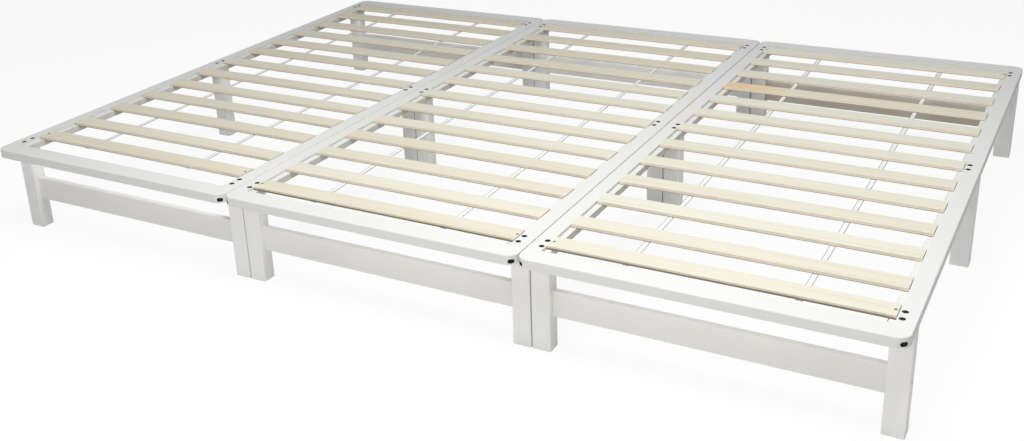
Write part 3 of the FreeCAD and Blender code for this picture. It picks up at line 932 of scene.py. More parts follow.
class RepeatTree(ABC):
    """A Geometry Nodes tree with named inputs, run once for each body."""

    name = ""
    inputs: dict[str, str] = {}

    def __init__(self) -> None:
        """Builds the tree."""
        self.tree = bpy.data.node_groups.new(self.name, "GeometryNodeTree")
        face = self.tree.interface
        face.new_socket("Geometry", in_out="INPUT", socket_type="NodeSocketGeometry")
        for label, kind in self.inputs.items():
            face.new_socket(label, in_out="INPUT", socket_type=f"NodeSocket{kind}")
        face.new_socket("Geometry", in_out="OUTPUT", socket_type="NodeSocketGeometry")
        self.bench = NodeBench(self.tree)
        self.given = self.bench.add("NodeGroupInput").outputs
        plain = self.bench.add("GeometryNodeRealizeInstances", {0: self.shape()}).outputs[0]
        feeds = {0: self.mark(plain), "Material": self.given["Finish"]}
        dressed = self.bench.add("GeometryNodeSetMaterial", feeds)
        self.bench.add("NodeGroupOutput", {0: dressed.outputs[0]})

    @abstractmethod
    def shape(self) -> Socket:
        """Adds the nodes that set out the copies."""

    def mark(self, plain: Socket) -> Socket:
        """Adds the nodes that mark the realized faces; none by default."""
        return plain

    def store(self, made: Feed, name: str, value: Feed, domain: str) -> Socket:
        """Gives each point, face or copy a number to carry.

        Args:
            made: What to mark.
            name: Name of the number.
            value: The number.
            domain: Whether points, faces or copies carry it.

        Returns:
            The marked geometry.
        """
        return self.bench.add(
            "GeometryNodeStoreNamedAttribute",
            {0: made, "Name": name, "Value": value},
            data_type="FLOAT",
            domain=domain,
        ).outputs[0]

    def carried(self, name: str, kind: str = "FLOAT") -> Socket:
        """A number or direction that the points carry."""
        feeds = {"Name": name}
        return self.bench.add("GeometryNodeInputNamedAttribute", feeds, data_type=kind).outputs[0]

    def note(self, made: Feed, name: str, axis: str, half: Feed) -> Socket:
        """Gives every point its place along one axis, from -1 to 1, to carry.

        Args:
            made: What to mark.
            name: Name of the mark.
            axis: The axis.
            half: Half of the piece's length on that axis.

        Returns:
            The marked geometry.
        """
        place = self.bench.add("GeometryNodeInputPosition").outputs[0]
        reach = self.bench.add("ShaderNodeSeparateXYZ", {0: place}).outputs[axis]
        return self.store(made, name, self.bench.math("DIVIDE", reach, half), "POINT")

    def section(self, radius: str, steps: int) -> Socket:
        """Outline of a flat piece with rounded corners.

        Args:
            radius: The tree's input for the corners' radius.
            steps: Number of pieces in a corner.

        Returns:
            The outline.
        """
        size = {"Width": self.given["Width"], "Height": self.given["Thickness"]}
        plain = self.bench.add("GeometryNodeCurvePrimitiveQuadrilateral", size).outputs[0]
        feeds = {0: plain, "Count": steps, "Radius": self.given[radius], "Limit Radius": True}
        return self.bench.add("GeometryNodeFilletCurve", feeds, mode="POLY").outputs[0]

    def sweep(self, path: Feed, outline: Feed) -> Socket:
        """Sweeps an outline along paths, level and closed at the ends.

        Args:
            path: The paths.
            outline: The outline.

        Returns:
            The swept geometry.
        """
        level = self.bench.add("GeometryNodeSetCurveNormal", {0: path}, mode="Z_UP").outputs[0]
        feeds = {"Curve": level, "Profile Curve": outline, "Fill Caps": True}
        return self.bench.add("GeometryNodeCurveToMesh", feeds).outputs[0]

    def random(self, low: Feed, high: Feed, offset: int) -> Socket:
        """A seeded random number for each copy.

        Args:
            low: Least value.
            high: Largest value.
            offset: Keeps this draw apart from the tree's other draws.

        Returns:
            The number.
        """
        seed = self.bench.plus(self.given["Seed"], float(offset))
        draw = self.bench.add("FunctionNodeRandomValue", {"Seed": seed}, data_type="FLOAT")
        for label, value in (("Min", low), ("Max", high)):
            socket = next(s for s in draw.inputs if s.name == label and s.type == "VALUE")
            if isinstance(value, Socket):
                self.tree.links.new(value, socket)
            else:
                socket.default_value = value
        return next(s for s in draw.outputs if s.type == "VALUE")

    def run(self, start: Mesh, values: dict[str, object]) -> Mesh:
        """Runs the tree on a mesh.

        Args:
            start: Points or paths that the tree works on.
            values: What each named input takes.

        Returns:
            A plain mesh.
        """
        carrier = new_object(self.name, start)
        modifier = carrier.modifiers.new(self.name, "NODES")
        modifier.node_group = self.tree
        for item in self.tree.interface.items_tree:
            if item.in_out == "INPUT" and item.name in values:
                modifier[item.identifier] = values[item.name]
        return baked(carrier)


class FastenerTree(RepeatTree):
    """Sets one fastener on every point, aimed along the point's direction and turned at random."""

    name = "fasteners"
    inputs = {"Pattern": "Object", "Turn": "Float", "Seed": "Int", "Finish": "Material"}

    def shape(self) -> Socket:
        """Adds the nodes that set out the copies.

        Returns:
            The copies.
        """
        bench, given = self.bench, self.given
        feeds = {"Object": given["Pattern"], "As Instance": True}
        pattern = bench.add("GeometryNodeObjectInfo", feeds).outputs["Geometry"]
        aim = {"Vector": self.carried(AIM, "FLOAT_VECTOR")}
        aimed = bench.add("FunctionNodeAlignRotationToVector", aim, axis="Z").outputs[0]
        turn = {"Axis": tuple(UP), "Angle": self.random(0.0, given["Turn"], 0)}
        spun = bench.add("FunctionNodeAxisAngleToRotation", turn).outputs[0]
        turns = {0: aimed, 1: spun}
        facing = bench.add("FunctionNodeRotateRotation", turns, rotation_space="LOCAL").outputs[0]
        feeds = {"Points": given["Geometry"], "Instance": pattern, "Rotation": facing}
        return bench.add("GeometryNodeInstanceOnPoints", feeds).outputs[0]


class SlatTree(RepeatTree):
    """Lays one eased slat on every point, each with its own tone, turn and slight crown."""

    name = "slats"
    inputs = {
        "Length": "Float",
        "Width": "Float",
        "Thickness": "Float",
        "Edge Round": "Float",
        "Stations": "Int",
        "End Ease": "Float",
        "Turn": "Float",
        "Crown": "Float",
        "Seed": "Int",
        "Finish": "Material",
    }
    corner_steps = 3
    crowding = 3.0

    def stations(self, half: Socket) -> Socket:
        """Adds the nodes of a slat's middle line, whose points crowd towards its eased ends.

        Args:
            half: Half of the slat's length.

        Returns:
            The line.
        """
        bench, given = self.bench, self.given
        line = bench.add("GeometryNodeCurvePrimitiveLine").outputs[0]
        even = {"Curve": line, "Count": given["Stations"]}
        points = bench.add("GeometryNodeResampleCurve", even).outputs[0]
        factor = bench.add("GeometryNodeSplineParameter").outputs["Factor"]
        along = bench.minus(bench.times(factor, 2.0), 1.0)
        inward = bench.minus(1.0, bench.math("ABSOLUTE", along))
        crowded = bench.minus(1.0, bench.math("POWER", inward, self.crowding))
        signed = bench.times(crowded, bench.math("SIGN", along))
        where = bench.add("ShaderNodeCombineXYZ", {"X": bench.times(signed, half)}).outputs[0]
        spread = bench.add("GeometryNodeSetPosition", {0: points, "Position": where}).outputs[0]
        ends = bench.add("GeometryNodeCurveEndpointSelection").outputs[0]
        ease = {0: spread, "Selection": ends, "Radius": given["End Ease"]}
        return bench.add("GeometryNodeSetCurveRadius", ease).outputs[0]

    def shape(self) -> Socket:
        """Adds the nodes that set out the copies.

        Returns:
            The copies.
        """
        bench, given = self.bench, self.given
        half = bench.times(given["Length"], 0.5)
        outline = self.section("Edge Round", self.corner_steps)
        outline = self.note(outline, RISE, "Y", bench.times(given["Thickness"], -0.5))
        board = self.note(self.sweep(self.stations(half), outline), ALONG, "X", half)
        yaw = self.random(bench.times(given["Turn"], -1.0), given["Turn"], 0)
        turned = bench.add("ShaderNodeCombineXYZ", {"Z": yaw}).outputs[0]
        feeds = {"Points": given["Geometry"], "Instance": board, "Rotation": turned}
        laid = bench.add("GeometryNodeInstanceOnPoints", feeds).outputs[0]
        return self.store(laid, TONE, self.random(0.0, 1.0, 1), "INSTANCE")

    def mark(self, plain: Socket) -> Socket:
        """Adds the nodes that crown each slat and mark its long edges and its ends.

        Args:
            plain: The realized slats.

        Returns:
            The marked slats.
        """
        bench = self.bench
        belly = bench.minus(1.0, bench.math("POWER", self.carried(ALONG), 2.0))
        lift = bench.times(bench.times(belly, self.carried(TONE)), self.given["Crown"])
        raised = bench.add("ShaderNodeCombineXYZ", {"Z": lift}).outputs[0]
        made = bench.add("GeometryNodeSetPosition", {0: plain, "Offset": raised}).outputs[0]
        normal = bench.add("GeometryNodeInputNormal").outputs[0]
        facing = bench.add("ShaderNodeSeparateXYZ", {0: normal}).outputs
        for axis, name in (("Y", EDGE_FACE), ("X", END_FACE)):
            side = bench.math("GREATER_THAN", bench.math("ABSOLUTE", facing[axis]), FACING)
            made = self.store(made, name, side, "FACE")
        return made


class StrapTree(RepeatTree):
    """Sweeps a flat woven tape along each path."""

    name = "straps"
    inputs = {"Width": "Float", "Thickness": "Float", "Round": "Float", "Finish": "Material"}
    corner_steps = 2

    def shape(self) -> Socket:
        """Adds the nodes that sweep the tape.

        Returns:
            The tapes.
        """
        bench, given = self.bench, self.given
        path = bench.add("GeometryNodeMeshToCurve", {0: given["Geometry"]}).outputs[0]
        feeds = {"Curve": self.section("Round", self.corner_steps), "Length": given["Round"]}
        fine = bench.add("GeometryNodeResampleCurve", feeds, mode="LENGTH").outputs[0]
        half = bench.times(given["Width"], 0.5)
        return self.sweep(path, self.note(fine, ACROSS, "X", half))


def set_out(
    tree: FastenerTree,
    pattern: bpy.types.Object,
    spots: Spots,
    finish: Finish,
    turn: float,
    seed: int,
) -> Mesh:
    """Sets a pattern on a list of places and clears the pattern away.

    Args:
        tree: The tree that sets it out.
        pattern: The object to repeat.
        spots: Each place and the way that the pattern's axis points there.
        finish: What the copies are dressed in.
        turn: Largest random turn about the axis.
        seed: Seed of that turn.

    Returns:
        All copies as one plain mesh.
    """
    points = bpy.data.meshes.new("spots")
    points.from_pydata([at for at, _ in spots], [], [])
    aims = points.attributes.new(AIM, "FLOAT_VECTOR", "POINT")
    for row, (_, aim) in zip(aims.data, spots):
        row.vector = aim
    values = {"Pattern": pattern, "Turn": turn, "Seed": seed, "Finish": finish.material()}
    made = tree.run(points, values)
    bpy.data.objects.remove(pattern)
    return made


# ---------------------------------------------------------------- bolts and their seats


@dataclass(frozen=True)
class Bolt:
    """Where one bolt sits: its head's outer face, the surface above it and the way out."""

    head_face: Vector
    seat_face: Vector
    aim: Vector
    side: Vector
    length: float


@dataclass(frozen=True)
class SlotSeat:
    """The slot that a corner bolt sits in, which runs round to the frame's end, and the dark cup
    that lines it as painted shade.
    """

    reach: float = 0.0086
    shift: float = 0.0032
    depth: float = 0.0070
    cup_wall: float = 0.0005
    cup_drop: float = 0.0004


SEAT = SlotSeat()
BOLT_HEAD_RADIUS = 0.00525
BOLT_SHANK_RADIUS = 0.003
BOLT_RECESS = 0.0015


def module_middle(module: Module) -> Vector:
    """Middle of a module's slats."""
    low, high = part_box(module.node("slats"))
    return (low + high) / 2


def lies_across(bolt: Solid) -> bool:
    """Whether a frame bolt runs straight across the module, as one into a stretcher does."""
    return bolt.size.y < 2 * bolt.size.z


def corner_bolts(module: Module) -> list[Bolt]:
    """Bolts that run in from the frame's rounded corners.

    Args:
        module: The module.

    Returns:
        The four bolts.
    """
    middle = module_middle(module)
    found = []
    for solid in solids(module.node("frame_bolts")):
        if lies_across(solid):
            continue
        out = Vector([math.copysign(1, way) for way in (solid.centre - middle).xy] + [0])
        tip, corner = solid.low.copy(), solid.high.copy()
        for axis in (0, 1):
            if out[axis] < 0:
                tip[axis], corner[axis] = corner[axis], tip[axis]
        tip.z = corner.z = solid.centre.z
        aim, side = out.normalized(), Vector((-out.x, out.y, 0)).normalized()
        face = corner - out * BOLT_HEAD_RADIUS * DIAGONAL
        end = tip + out * BOLT_SHANK_RADIUS * DIAGONAL
        found.append(Bolt(face, face + aim * BOLT_RECESS, aim, side, (face - end).length))
    return found


def stretcher_bolts(module: Module) -> list[Bolt]:
    """Bolts that run in through the corner legs.

    Args:
        module: The module.

    Returns:
        The four bolts.
    """
    middle = module_middle(module)
    found = []
    for solid in filter(lies_across, solids(module.node("frame_bolts"))):
        aim = Vector((math.copysign(1, solid.centre.x - middle.x), 0, 0))
        end = solid.high.x if aim.x > 0 else solid.low.x
        face = Vector((end, solid.centre.y, solid.centre.z))
        found.append(Bolt(face, face + aim * BOLT_RECESS, aim, UP, solid.size.x))
    return found


# ---------------------------------------------------------------- sub-assemblies


@dataclass
class SubAssembly:
    """Pieces of one kind in one module."""

    module: Module

    @property
    def order(self) -> int:
        """The module's place, from left to right."""
        return list(Module).index(self.module)

    def give(self, name: str, mesh: Mesh, finish: Finish, *replaced: str) -> None:
        """Puts a finished mesh into the scene as a piece of the module.

        Args:
            name: The piece's name in the module.
            mesh: The finished mesh.
            finish: What the piece is dressed in.
            replaced: The CAD pieces of the module that it stands for.
        """
        mesh.name = self.module.node(name)
        piece = new_object(f"{self.module.node(name)}_dressed", mesh)
        mesh.materials.clear()
        mesh.materials.append(finish.material())
        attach(piece, self.module.value)
        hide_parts(*(self.module.node(node) for node in replaced))
        LOG.info("%s: %d faces", piece.name, len(mesh.polygons))


@dataclass
class TopFrame(SubAssembly):
    """Four flat rails, mitred in the rounded corners, the long ones with a ledge for the slats."""

    rail_width: float = 0.058
    corner_radius: float = 0.030
    corner_steps: int = 9
    rebate_width: float = 0.016
    rebate_depth: float = 0.008
    outer_round: float = 0.0025
    inner_round: float = 0.0009
    inner_steps: int = 2
    screw_bore: float = 0.0073
    screw_bore_depth: float = 0.005
    rim_ease: float = 0.0004

    def strip(self, length: float) -> list[Span]:
        """Plan outline of one rail.

        Args:
            length: Length of the module's side that the rail lies on.

        Returns:
            Points as distances in from that side and along it.
        """
        radius, width = self.corner_radius, self.rail_width
        corner = []
        for step in range(self.corner_steps + 1):
            angle = MITRE * (1 - step / self.corner_steps)
            corner.append((radius * (1 - math.cos(angle)), radius * (1 - math.sin(angle))))
        far = [(inward, length - along) for inward, along in reversed(corner)]
        return corner + far + [(width, length - width), (width, width)]

    def rail(self, length: float, low: float, high: float, ledge: bool) -> Shape:
        """One rail in its own plan, with its edges rounded.

        Args:
            length: Length of the module's side that the rail lies on.
            low: Height of its underside.
            high: Height of its top.
            ledge: Whether its inner top edge is cut back for the slats.

        Returns:
            The shape.
        """
        width = self.rail_width
        step_back = width - self.rebate_width
        shape = bmesh.new()
        plan = [shape.verts.new((inward, along, low)) for inward, along in self.strip(length)]
        pulled = bmesh.ops.extrude_face_region(shape, geom=[shape.faces.new(plan)])["geom"]
        raised = [item for item in pulled if isinstance(item, bmesh.types.BMVert)]
        bmesh.ops.translate(shape, verts=raised, vec=(0, 0, high - low))
        if ledge:
            cutter = bmesh.new()
            corner = (width + OVERRUN, length - width, high + OVERRUN)
            add_box(cutter, (step_back, width, high - self.rebate_depth), corner)
            cut = carve(from_bmesh(shape, "rail"), cutter)
            shape = bmesh.new()
            shape.from_mesh(cut)
        outer, inner = [], []
        reach = self.corner_radius * (1 - math.cos(MITRE)) + WELD
        for edge in shape.edges:
            first, second = (vert.co for vert in edge.verts)
            if abs(first.z - second.z) > WELD or edge.calc_face_angle(0) < CREASE:
                continue
            if max(first.x, second.x) < reach:
                outer.append(edge)
            elif min(first.x, second.x) > step_back - WELD and abs(first.y - second.y) > width:
                inner.append(edge)
        round_edges(shape, outer, self.outer_round, EDGE_STEPS)
        inner = [edge for edge in inner if edge.is_valid]
        round_edges(shape, inner, self.inner_round, self.inner_steps)
        # Each rail's innermost face, inside the frame, is marked for painted shade.
        thin = shape.faces.layers.float.new(INNER_SHADE)
        shape.normal_update()
        for face in shape.faces:
            innermost = face.calc_center_median().x > width - WELD
            face[thin] = float(face.normal.x > FACING_SQUARE and innermost)
        return shape

    def bores(self) -> Shape:
        """Seats of the leg screws and of the corner bolts, to be cut out of the rails.

        Returns:
            The cutters.
        """
        cutter = bmesh.new()
        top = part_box(self.module.node("left_side_rail"))[1].z
        radius, ease = self.screw_bore, self.rim_ease
        rings = [
            Ring(radius, -self.screw_bore_depth),
            Ring(radius, -ease),
            Ring(radius + ease + OVERRUN, OVERRUN),
        ]
        for screw in solids(self.module.node("leg_screws")):
            add_turned(cutter, rings, BORE_SIDES, screw.at_height(top))
        rings = [Ring(SEAT.reach, level, Outline.SLOT) for level in (-SEAT.depth, OVERRUN)]
        for bolt in corner_bolts(self.module):
            at = bolt.seat_face + bolt.side * SEAT.shift
            add_turned(cutter, rings, SLOT_SIDES, at, bolt.aim)
        return cutter

    def build(self) -> None:
        """Builds and dresses the four rails."""
        low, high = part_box(self.module.node("left_side_rail"))
        left, bottom, top = low.x, low.z, high.z
        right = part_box(self.module.node("right_side_rail"))[1].x
        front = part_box(self.module.node("front_end_rail"))[0].y
        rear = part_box(self.module.node("rear_end_rail"))[1].y
        sides = {
            "left_side_rail": (rear - front, True, Along.Y, ((1, 0, left), (0, 1, front))),
            "right_side_rail": (rear - front, True, Along.Y, ((-1, 0, right), (0, 1, front))),
            "front_end_rail": (right - left, False, Along.X, ((0, 1, left), (1, 0, front))),
            "rear_end_rail": (right - left, False, Along.X, ((0, 1, left), (-1, 0, rear))),
        }
        for name, (length, ledge, along, ((ux, vx, x), (uy, vy, y))) in sides.items():
            shape = self.rail(length, bottom, top, ledge)
            place = Matrix(((ux, vx, 0, x), (uy, vy, 0, y), (0, 0, 1, 0), (0, 0, 0, 1)))
            bmesh.ops.transform(shape, matrix=place, verts=shape.verts)
            mesh = carve(from_bmesh(shape, name), self.bores())
            self.give(name, soften(mesh), WhitePaint(along=along), name)


@dataclass
class Legs(SubAssembly):
    """Six square posts with rounded corners and eased feet, the corner ones bored for bolts."""

    edge_round: float = 0.003
    foot_ease: float = 0.0015
    top_ease: float = 0.0008
    ease_steps: int = 2
    bolt_bore: float = 0.00545
    bolt_bore_depth: float = 0.0065

    def build(self) -> None:
        """Builds and dresses the six legs."""
        eases = (self.foot_ease, self.top_ease)
        rings = [Ring(self.bolt_bore, level) for level in (-self.bolt_bore_depth, OVERRUN)]
        for row, side in product(("front", "mid", "rear"), ("left", "right")):
            name = f"{row}_{side}_leg"
            low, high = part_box(self.module.node(name))
            shape = eased_board(low, high, Along.Z, self.edge_round, eases, self.ease_steps)
            mesh = from_bmesh(shape, name)
            if row != "mid":
                cutter = bmesh.new()
                for bolt in stretcher_bolts(self.module):
                    add_turned(cutter, rings, BORE_SIDES, bolt.seat_face, bolt.aim)
                mesh = carve(mesh, cutter)
            self.give(name, soften(mesh), WhitePaint(along=Along.Z, coat=Coat.LEGS), name)


@dataclass
class Stretchers(SubAssembly):
    """A board on edge between the corner legs at each end, bored for its barrel nuts."""

    edge_round: float = 0.002
    end_ease: float = 0.0006
    ease_steps: int = 1
    nut_bore: float = 0.0052
    barrel_excess: float = 0.001
    # The right module's rear stretcher takes the darker, browner tone.
    browned: tuple[tuple[Module, str], ...] = ((Module.RIGHT, "rear"),)

    def build(self) -> None:
        """Builds and dresses both stretchers."""
        eases = (self.end_ease, self.end_ease)
        nuts = solids(self.module.node("nuts"))
        barrels = [nut for nut in nuts if nut.size.y > nut.size.x + self.barrel_excess]
        for row, inward in (("front", 1), ("rear", -1)):
            name = f"{row}_stretcher"
            low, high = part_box(self.module.node(name))
            shape = eased_board(low, high, Along.X, self.edge_round, eases, self.ease_steps)
            cutter = bmesh.new()
            for nut in barrels:
                if low.y < nut.centre.y < high.y:
                    depth = nut.size.y / 2
                    rings = [Ring(self.nut_bore, level) for level in (-depth, depth + 2 * OVERRUN)]
                    add_turned(cutter, rings, BORE_SIDES, nut.centre, Vector((0, inward, 0)))
            mesh = carve(from_bmesh(shape, name), cutter)
            coat = Coat.BROWNED if (self.module, row) in self.browned else Coat.STRETCHERS
            self.give(name, soften(mesh), WhitePaint(coat=coat), name)


@dataclass
class SlatBase(SubAssembly):
    """Thirteen loose slats and the two stapled straps that hold them at their spacing."""

    edge_round: float = 0.0008
    stations: int = 17
    end_ease: float = 0.97
    turn: float = math.radians(0.12)
    crown: float = 0.0012
    warmth: Place = (0.42, 0.38, 0.12)
    stained_slats: tuple[tuple[Module, int], ...] = ((Module.RIGHT, 9),)
    # The front slats of the middle and right modules take a wider band of painted shade, for the
    # shadowed gap to the front rail.
    shade_band_slats: tuple[tuple[Module, int], ...] = ((Module.MIDDLE, 0), (Module.RIGHT, 0))
    strap_round: float = 0.0005
    sag: float = 0.0016
    sag_steps: int = 6
    staple_crown: float = 0.0095
    staple_leg: float = 0.005
    staple_wire: float = 0.0005
    staple_bend: float = 0.0020
    seed: int = 11

    def slat_points(self, slats: list[Solid]) -> Mesh:
        """A point in the middle of each slat, marked with its warmth, stains and wider bands of
        painted shade.

        Args:
            slats: The slats, front to rear.

        Returns:
            The points.
        """
        points = bpy.data.meshes.new("slat points")
        points.from_pydata([slat.centre for slat in slats], [], [])
        warm = points.attributes.new(WARMTH, "FLOAT", "POINT")
        for row in warm.data:
            row.value = self.warmth[self.order]
        for name, marked in ((STAIN, self.stained_slats), (SHADE_BAND, self.shade_band_slats)):
            layer = points.attributes.new(name, "FLOAT", "POINT")
            for module, place in marked:
                if module is self.module:
                    layer.data[place].value = 1.0
        return points

    def strap_paths(self, slats: list[Solid], straps: list[Solid]) -> Mesh:
        """Paths that lie flat under each slat and sag a little between two.

        Args:
            slats: The slats, front to rear.
            straps: The straps.

        Returns:
            One open path for each strap.
        """
        run = []
        for slat, after in zip(slats, slats[1:] + [None]):
            run += [(slat.low.y, 0.0), (slat.centre.y, 0.0), (slat.high.y, 0.0)]
            if after:
                gap = after.low.y - slat.high.y
                # A parabola that hangs by the whole sag halfway across the gap.
                for step in range(1, self.sag_steps):
                    share = step / self.sag_steps
                    run.append((slat.high.y + gap * share, -4 * self.sag * share * (1 - share)))
        points, edges = [], []
        for strap in straps:
            start = len(points)
            points += [(strap.centre.x, along, strap.centre.z + drop) for along, drop in run]
            edges += [(index, index + 1) for index in range(start, len(points) - 1)]
        paths = bpy.data.meshes.new("strap paths")
        paths.from_pydata(points, edges, [])
        return paths

    def staple(self) -> bpy.types.Object:
        """One wire staple with its crown at the origin and its legs along its axis.

        Returns:
            The pattern object.
        """
        half, leg, bend = self.staple_crown / 2, self.staple_leg, self.staple_bend
        arm = [(half - bend, 0), (half, bend), (half, leg)]
        points = [(-across, rise) for across, rise in reversed(arm)] + arm
        curve = bpy.data.curves.new("staple", "CURVE")
        curve.dimensions = "3D"
        curve.bevel_depth = self.staple_wire
        curve.bevel_resolution = 0
        curve.use_fill_caps = True
        wire = curve.splines.new("POLY")
        wire.points.add(len(points) - 1)
        for point, (across, rise) in zip(wire.points, points):
            point.co = (across, 0, rise, 1)
        return new_object("staple pattern", baked(new_object("staple", curve)))

    def build(
        self, slat_tree: SlatTree, strap_tree: StrapTree, fastener_tree: FastenerTree
    ) -> None:
        """Builds and dresses the slats, the straps and their staples.

        Args:
            slat_tree: Lays the slats.
            strap_tree: Sweeps the straps.
            fastener_tree: Sets the staples.
        """
        slats = sorted(solids(self.module.node("slats")), key=lambda slat: slat.low.y)
        straps = solids(self.module.node("slat_straps"))
        timber, tape = SlatTimber(), Webbing()
        seed = self.seed + self.order
        size = slats[0].size
        values = {
            "Length": size.x,
            "Width": size.y,
            "Thickness": size.z,
            "Edge Round": self.edge_round,
            "Stations": self.stations,
            "End Ease": self.end_ease,
            "Turn": self.turn,
            "Crown": self.crown,
            "Seed": seed,
            "Finish": timber.material(),
        }
        laid = slat_tree.run(self.slat_points(slats), values)
        self.give("slats", soften(laid), timber, "slats")
        size = straps[0].size
        values = {
            "Width": size.x,
            "Thickness": size.z,
            "Round": self.strap_round,
            "Finish": tape.material(),
        }
        swept = strap_tree.run(self.strap_paths(slats, straps), values)
        self.give("slat_straps", soften(swept), tape, "slat_straps")
        spots = [
            (Vector((strap.centre.x, slat.centre.y, strap.low.z - self.staple_wire)), UP)
            for slat in slats
            for strap in straps
        ]
        staples = set_out(fastener_tree, self.staple(), spots, ZINC_STEEL, 0.0, seed)
        self.give("strap_staples", soften(staples), ZINC_STEEL)


@dataclass
class Fasteners(SubAssembly):
    """Socket screws, bolts and small wood screws, and the plates, nuts and dowels behind them."""

    sides: int = 24
    screw_shank: float = 0.003
    screw_head_height: float = 0.0045
    screw_dome: float = 0.0009
    cup_radius: float = 0.0072
    cup_depth: float = 0.0049
    cup_wall: float = 0.0008
    cup_drop: float = 0.0002
    bolt_head_height: float = 0.005
    socket: float = 0.00318
    socket_depth: float = 0.0025
    socket_floor_share: float = 0.2
    rim: float = 0.0007
    rim_share: float = 0.3
    dome_shares: Span = (0.45, 0.85)
    point: float = 0.002
    point_share: float = 0.5
    wood_screw_head: float = 0.0035
    wood_screw_head_height: float = 0.0025
    wood_screw_shank: float = 0.00175
    wood_screw_land: float = 0.0004
    wood_screw_point: float = 0.006
    wood_screw_point_share: float = 0.2
    slat_screw_stand: float = 0.0004
    cross: float = 0.0021
    cross_depth: float = 0.0014
    cross_taper_share: float = 0.6
    seed: int = 31

    def pattern(self, name: str, rings: Sequence[Ring]) -> bpy.types.Object:
        """A turned fastener to repeat.

        Args:
            name: Its name.
            rings: Its rings, from one end of the surface to the other.

        Returns:
            The pattern object.
        """
        shape = bmesh.new()
        add_turned(shape, rings, self.sides)
        return new_object(f"{name} pattern", soften(from_bmesh(shape, name)))

    def socket_screw(
        self, head: float, head_height: float, shank: float, length: float, dome: float = 0.0
    ) -> bpy.types.Object:
        """A round-headed screw with a six-sided socket, its head's face at the origin.

        Args:
            head: Radius of the head.
            head_height: Height of the head.
            shank: Radius of the shank.
            length: Whole length.
            dome: How far the face swells above its rim.

        Returns:
            The pattern object.
        """
        rim, socket = self.rim, self.socket
        eased = rim * self.rim_share
        swell, crest = (dome * share for share in self.dome_shares)
        rings = [
            Ring(shank * self.point_share, -length),
            Ring(shank, self.point - length),
            Ring(shank, -head_height),
            Ring(head - rim / 2, -head_height),
            Ring(head, rim / 2 - head_height),
            Ring(head, -rim),
            Ring(head - eased, -eased),
            Ring(head - rim, swell),
            Ring((head + socket) / 2, crest),
            Ring(socket + rim / 2, dome),
            Ring(socket, dome - rim / 3, Outline.HEX),
            Ring(socket, -self.socket_depth, Outline.HEX),
            Ring(socket * self.socket_floor_share, -self.socket_depth - rim),
        ]
        return self.pattern("socket screw", rings)

    def wood_screw(self, length: float) -> bpy.types.Object:
        """A countersunk screw with a cross recess, its head's face at the origin.

        Args:
            length: Whole length.

        Returns:
            The pattern object.
        """
        head, shank, land = self.wood_screw_head, self.wood_screw_shank, self.wood_screw_land
        rings = [
            Ring(shank * self.wood_screw_point_share, -length),
            Ring(shank, self.wood_screw_point - length),
            Ring(shank, -self.wood_screw_head_height),
            Ring(head, -land),
            Ring(head - land / 2, 0),
            Ring(self.cross, 0, Outline.CROSS),
            Ring(self.cross * self.cross_taper_share, -self.cross_depth, Outline.CROSS),
        ]
        return self.pattern("wood screw", rings)

    def shade_cup(self) -> bpy.types.Object:
        """A dark cup that lines a leg screw's bore as painted shade round its head, its rim at the
        origin.

        Returns:
            The pattern object.
        """
        radius, drop = self.cup_radius, self.cup_drop
        inner = radius - self.cup_wall
        rings = [
            Ring(radius, -self.cup_depth),
            Ring(radius, -2 * drop),
            Ring(radius - drop, -drop),
            Ring(inner, -drop),
            Ring(inner, self.cup_wall - self.cup_depth),
        ]
        return self.pattern("cup washer", rings)

    def seat_shade_cups(self) -> Mesh:
        """The dark cups that line the slots of the corner bolts as painted shade, trimmed to the
        corner's round.

        Returns:
            All cups as one mesh.
        """
        shape = bmesh.new()
        bend = TopFrame.corner_radius
        inner = SEAT.reach - SEAT.cup_wall
        rings = [
            Ring(SEAT.reach, -SEAT.depth, Outline.SLOT),
            Ring(SEAT.reach, -SEAT.cup_drop, Outline.SLOT),
            Ring(inner, -SEAT.cup_drop, Outline.SLOT),
            Ring(inner, SEAT.cup_wall - SEAT.depth, Outline.SLOT),
        ]
        for bolt in corner_bolts(self.module):
            cup = bmesh.new()
            add_turned(cup, rings, SLOT_SIDES, Vector((SEAT.shift, 0, 0)))
            for vert in cup.verts:
                if vert.co.z > -SEAT.depth / 2:
                    vert.co.z -= bend - math.sqrt(bend**2 - vert.co.x**2)
            turn = Matrix((bolt.side, UP, bolt.aim)).transposed().to_4x4()
            place = Matrix.Translation(bolt.seat_face) @ turn
            bmesh.ops.transform(cup, matrix=place, verts=cup.verts)
            made = from_bmesh(cup, "cup")
            shape.from_mesh(made)
            bpy.data.meshes.remove(made)
        return soften(from_bmesh(shape, "bolt cups"))

    def wood_screw_spots(self) -> tuple[Spots, Spots, float]:
        """Places of the small screws and the way that each head faces.

        Returns:
            Those down through the end slats, those out through the corner plates, and their length.
        """
        middle = module_middle(self.module)
        down, out, length = [], [], 0.0
        for screw in solids(self.module.node("wood_screws")):
            axis = max(range(3), key=lambda index: screw.size[index])
            upright = axis == Along.Z.value
            aim = Vector()
            aim[axis] = 1.0 if upright else math.copysign(1, middle[axis] - screw.centre[axis])
            at = screw.centre.copy()
            at[axis] = screw.high[axis] if aim[axis] > 0 else screw.low[axis]
            if upright:
                at.z += self.slat_screw_stand
            (down if upright else out).append((at, aim))
            length = screw.size[axis]
        return down, out, length

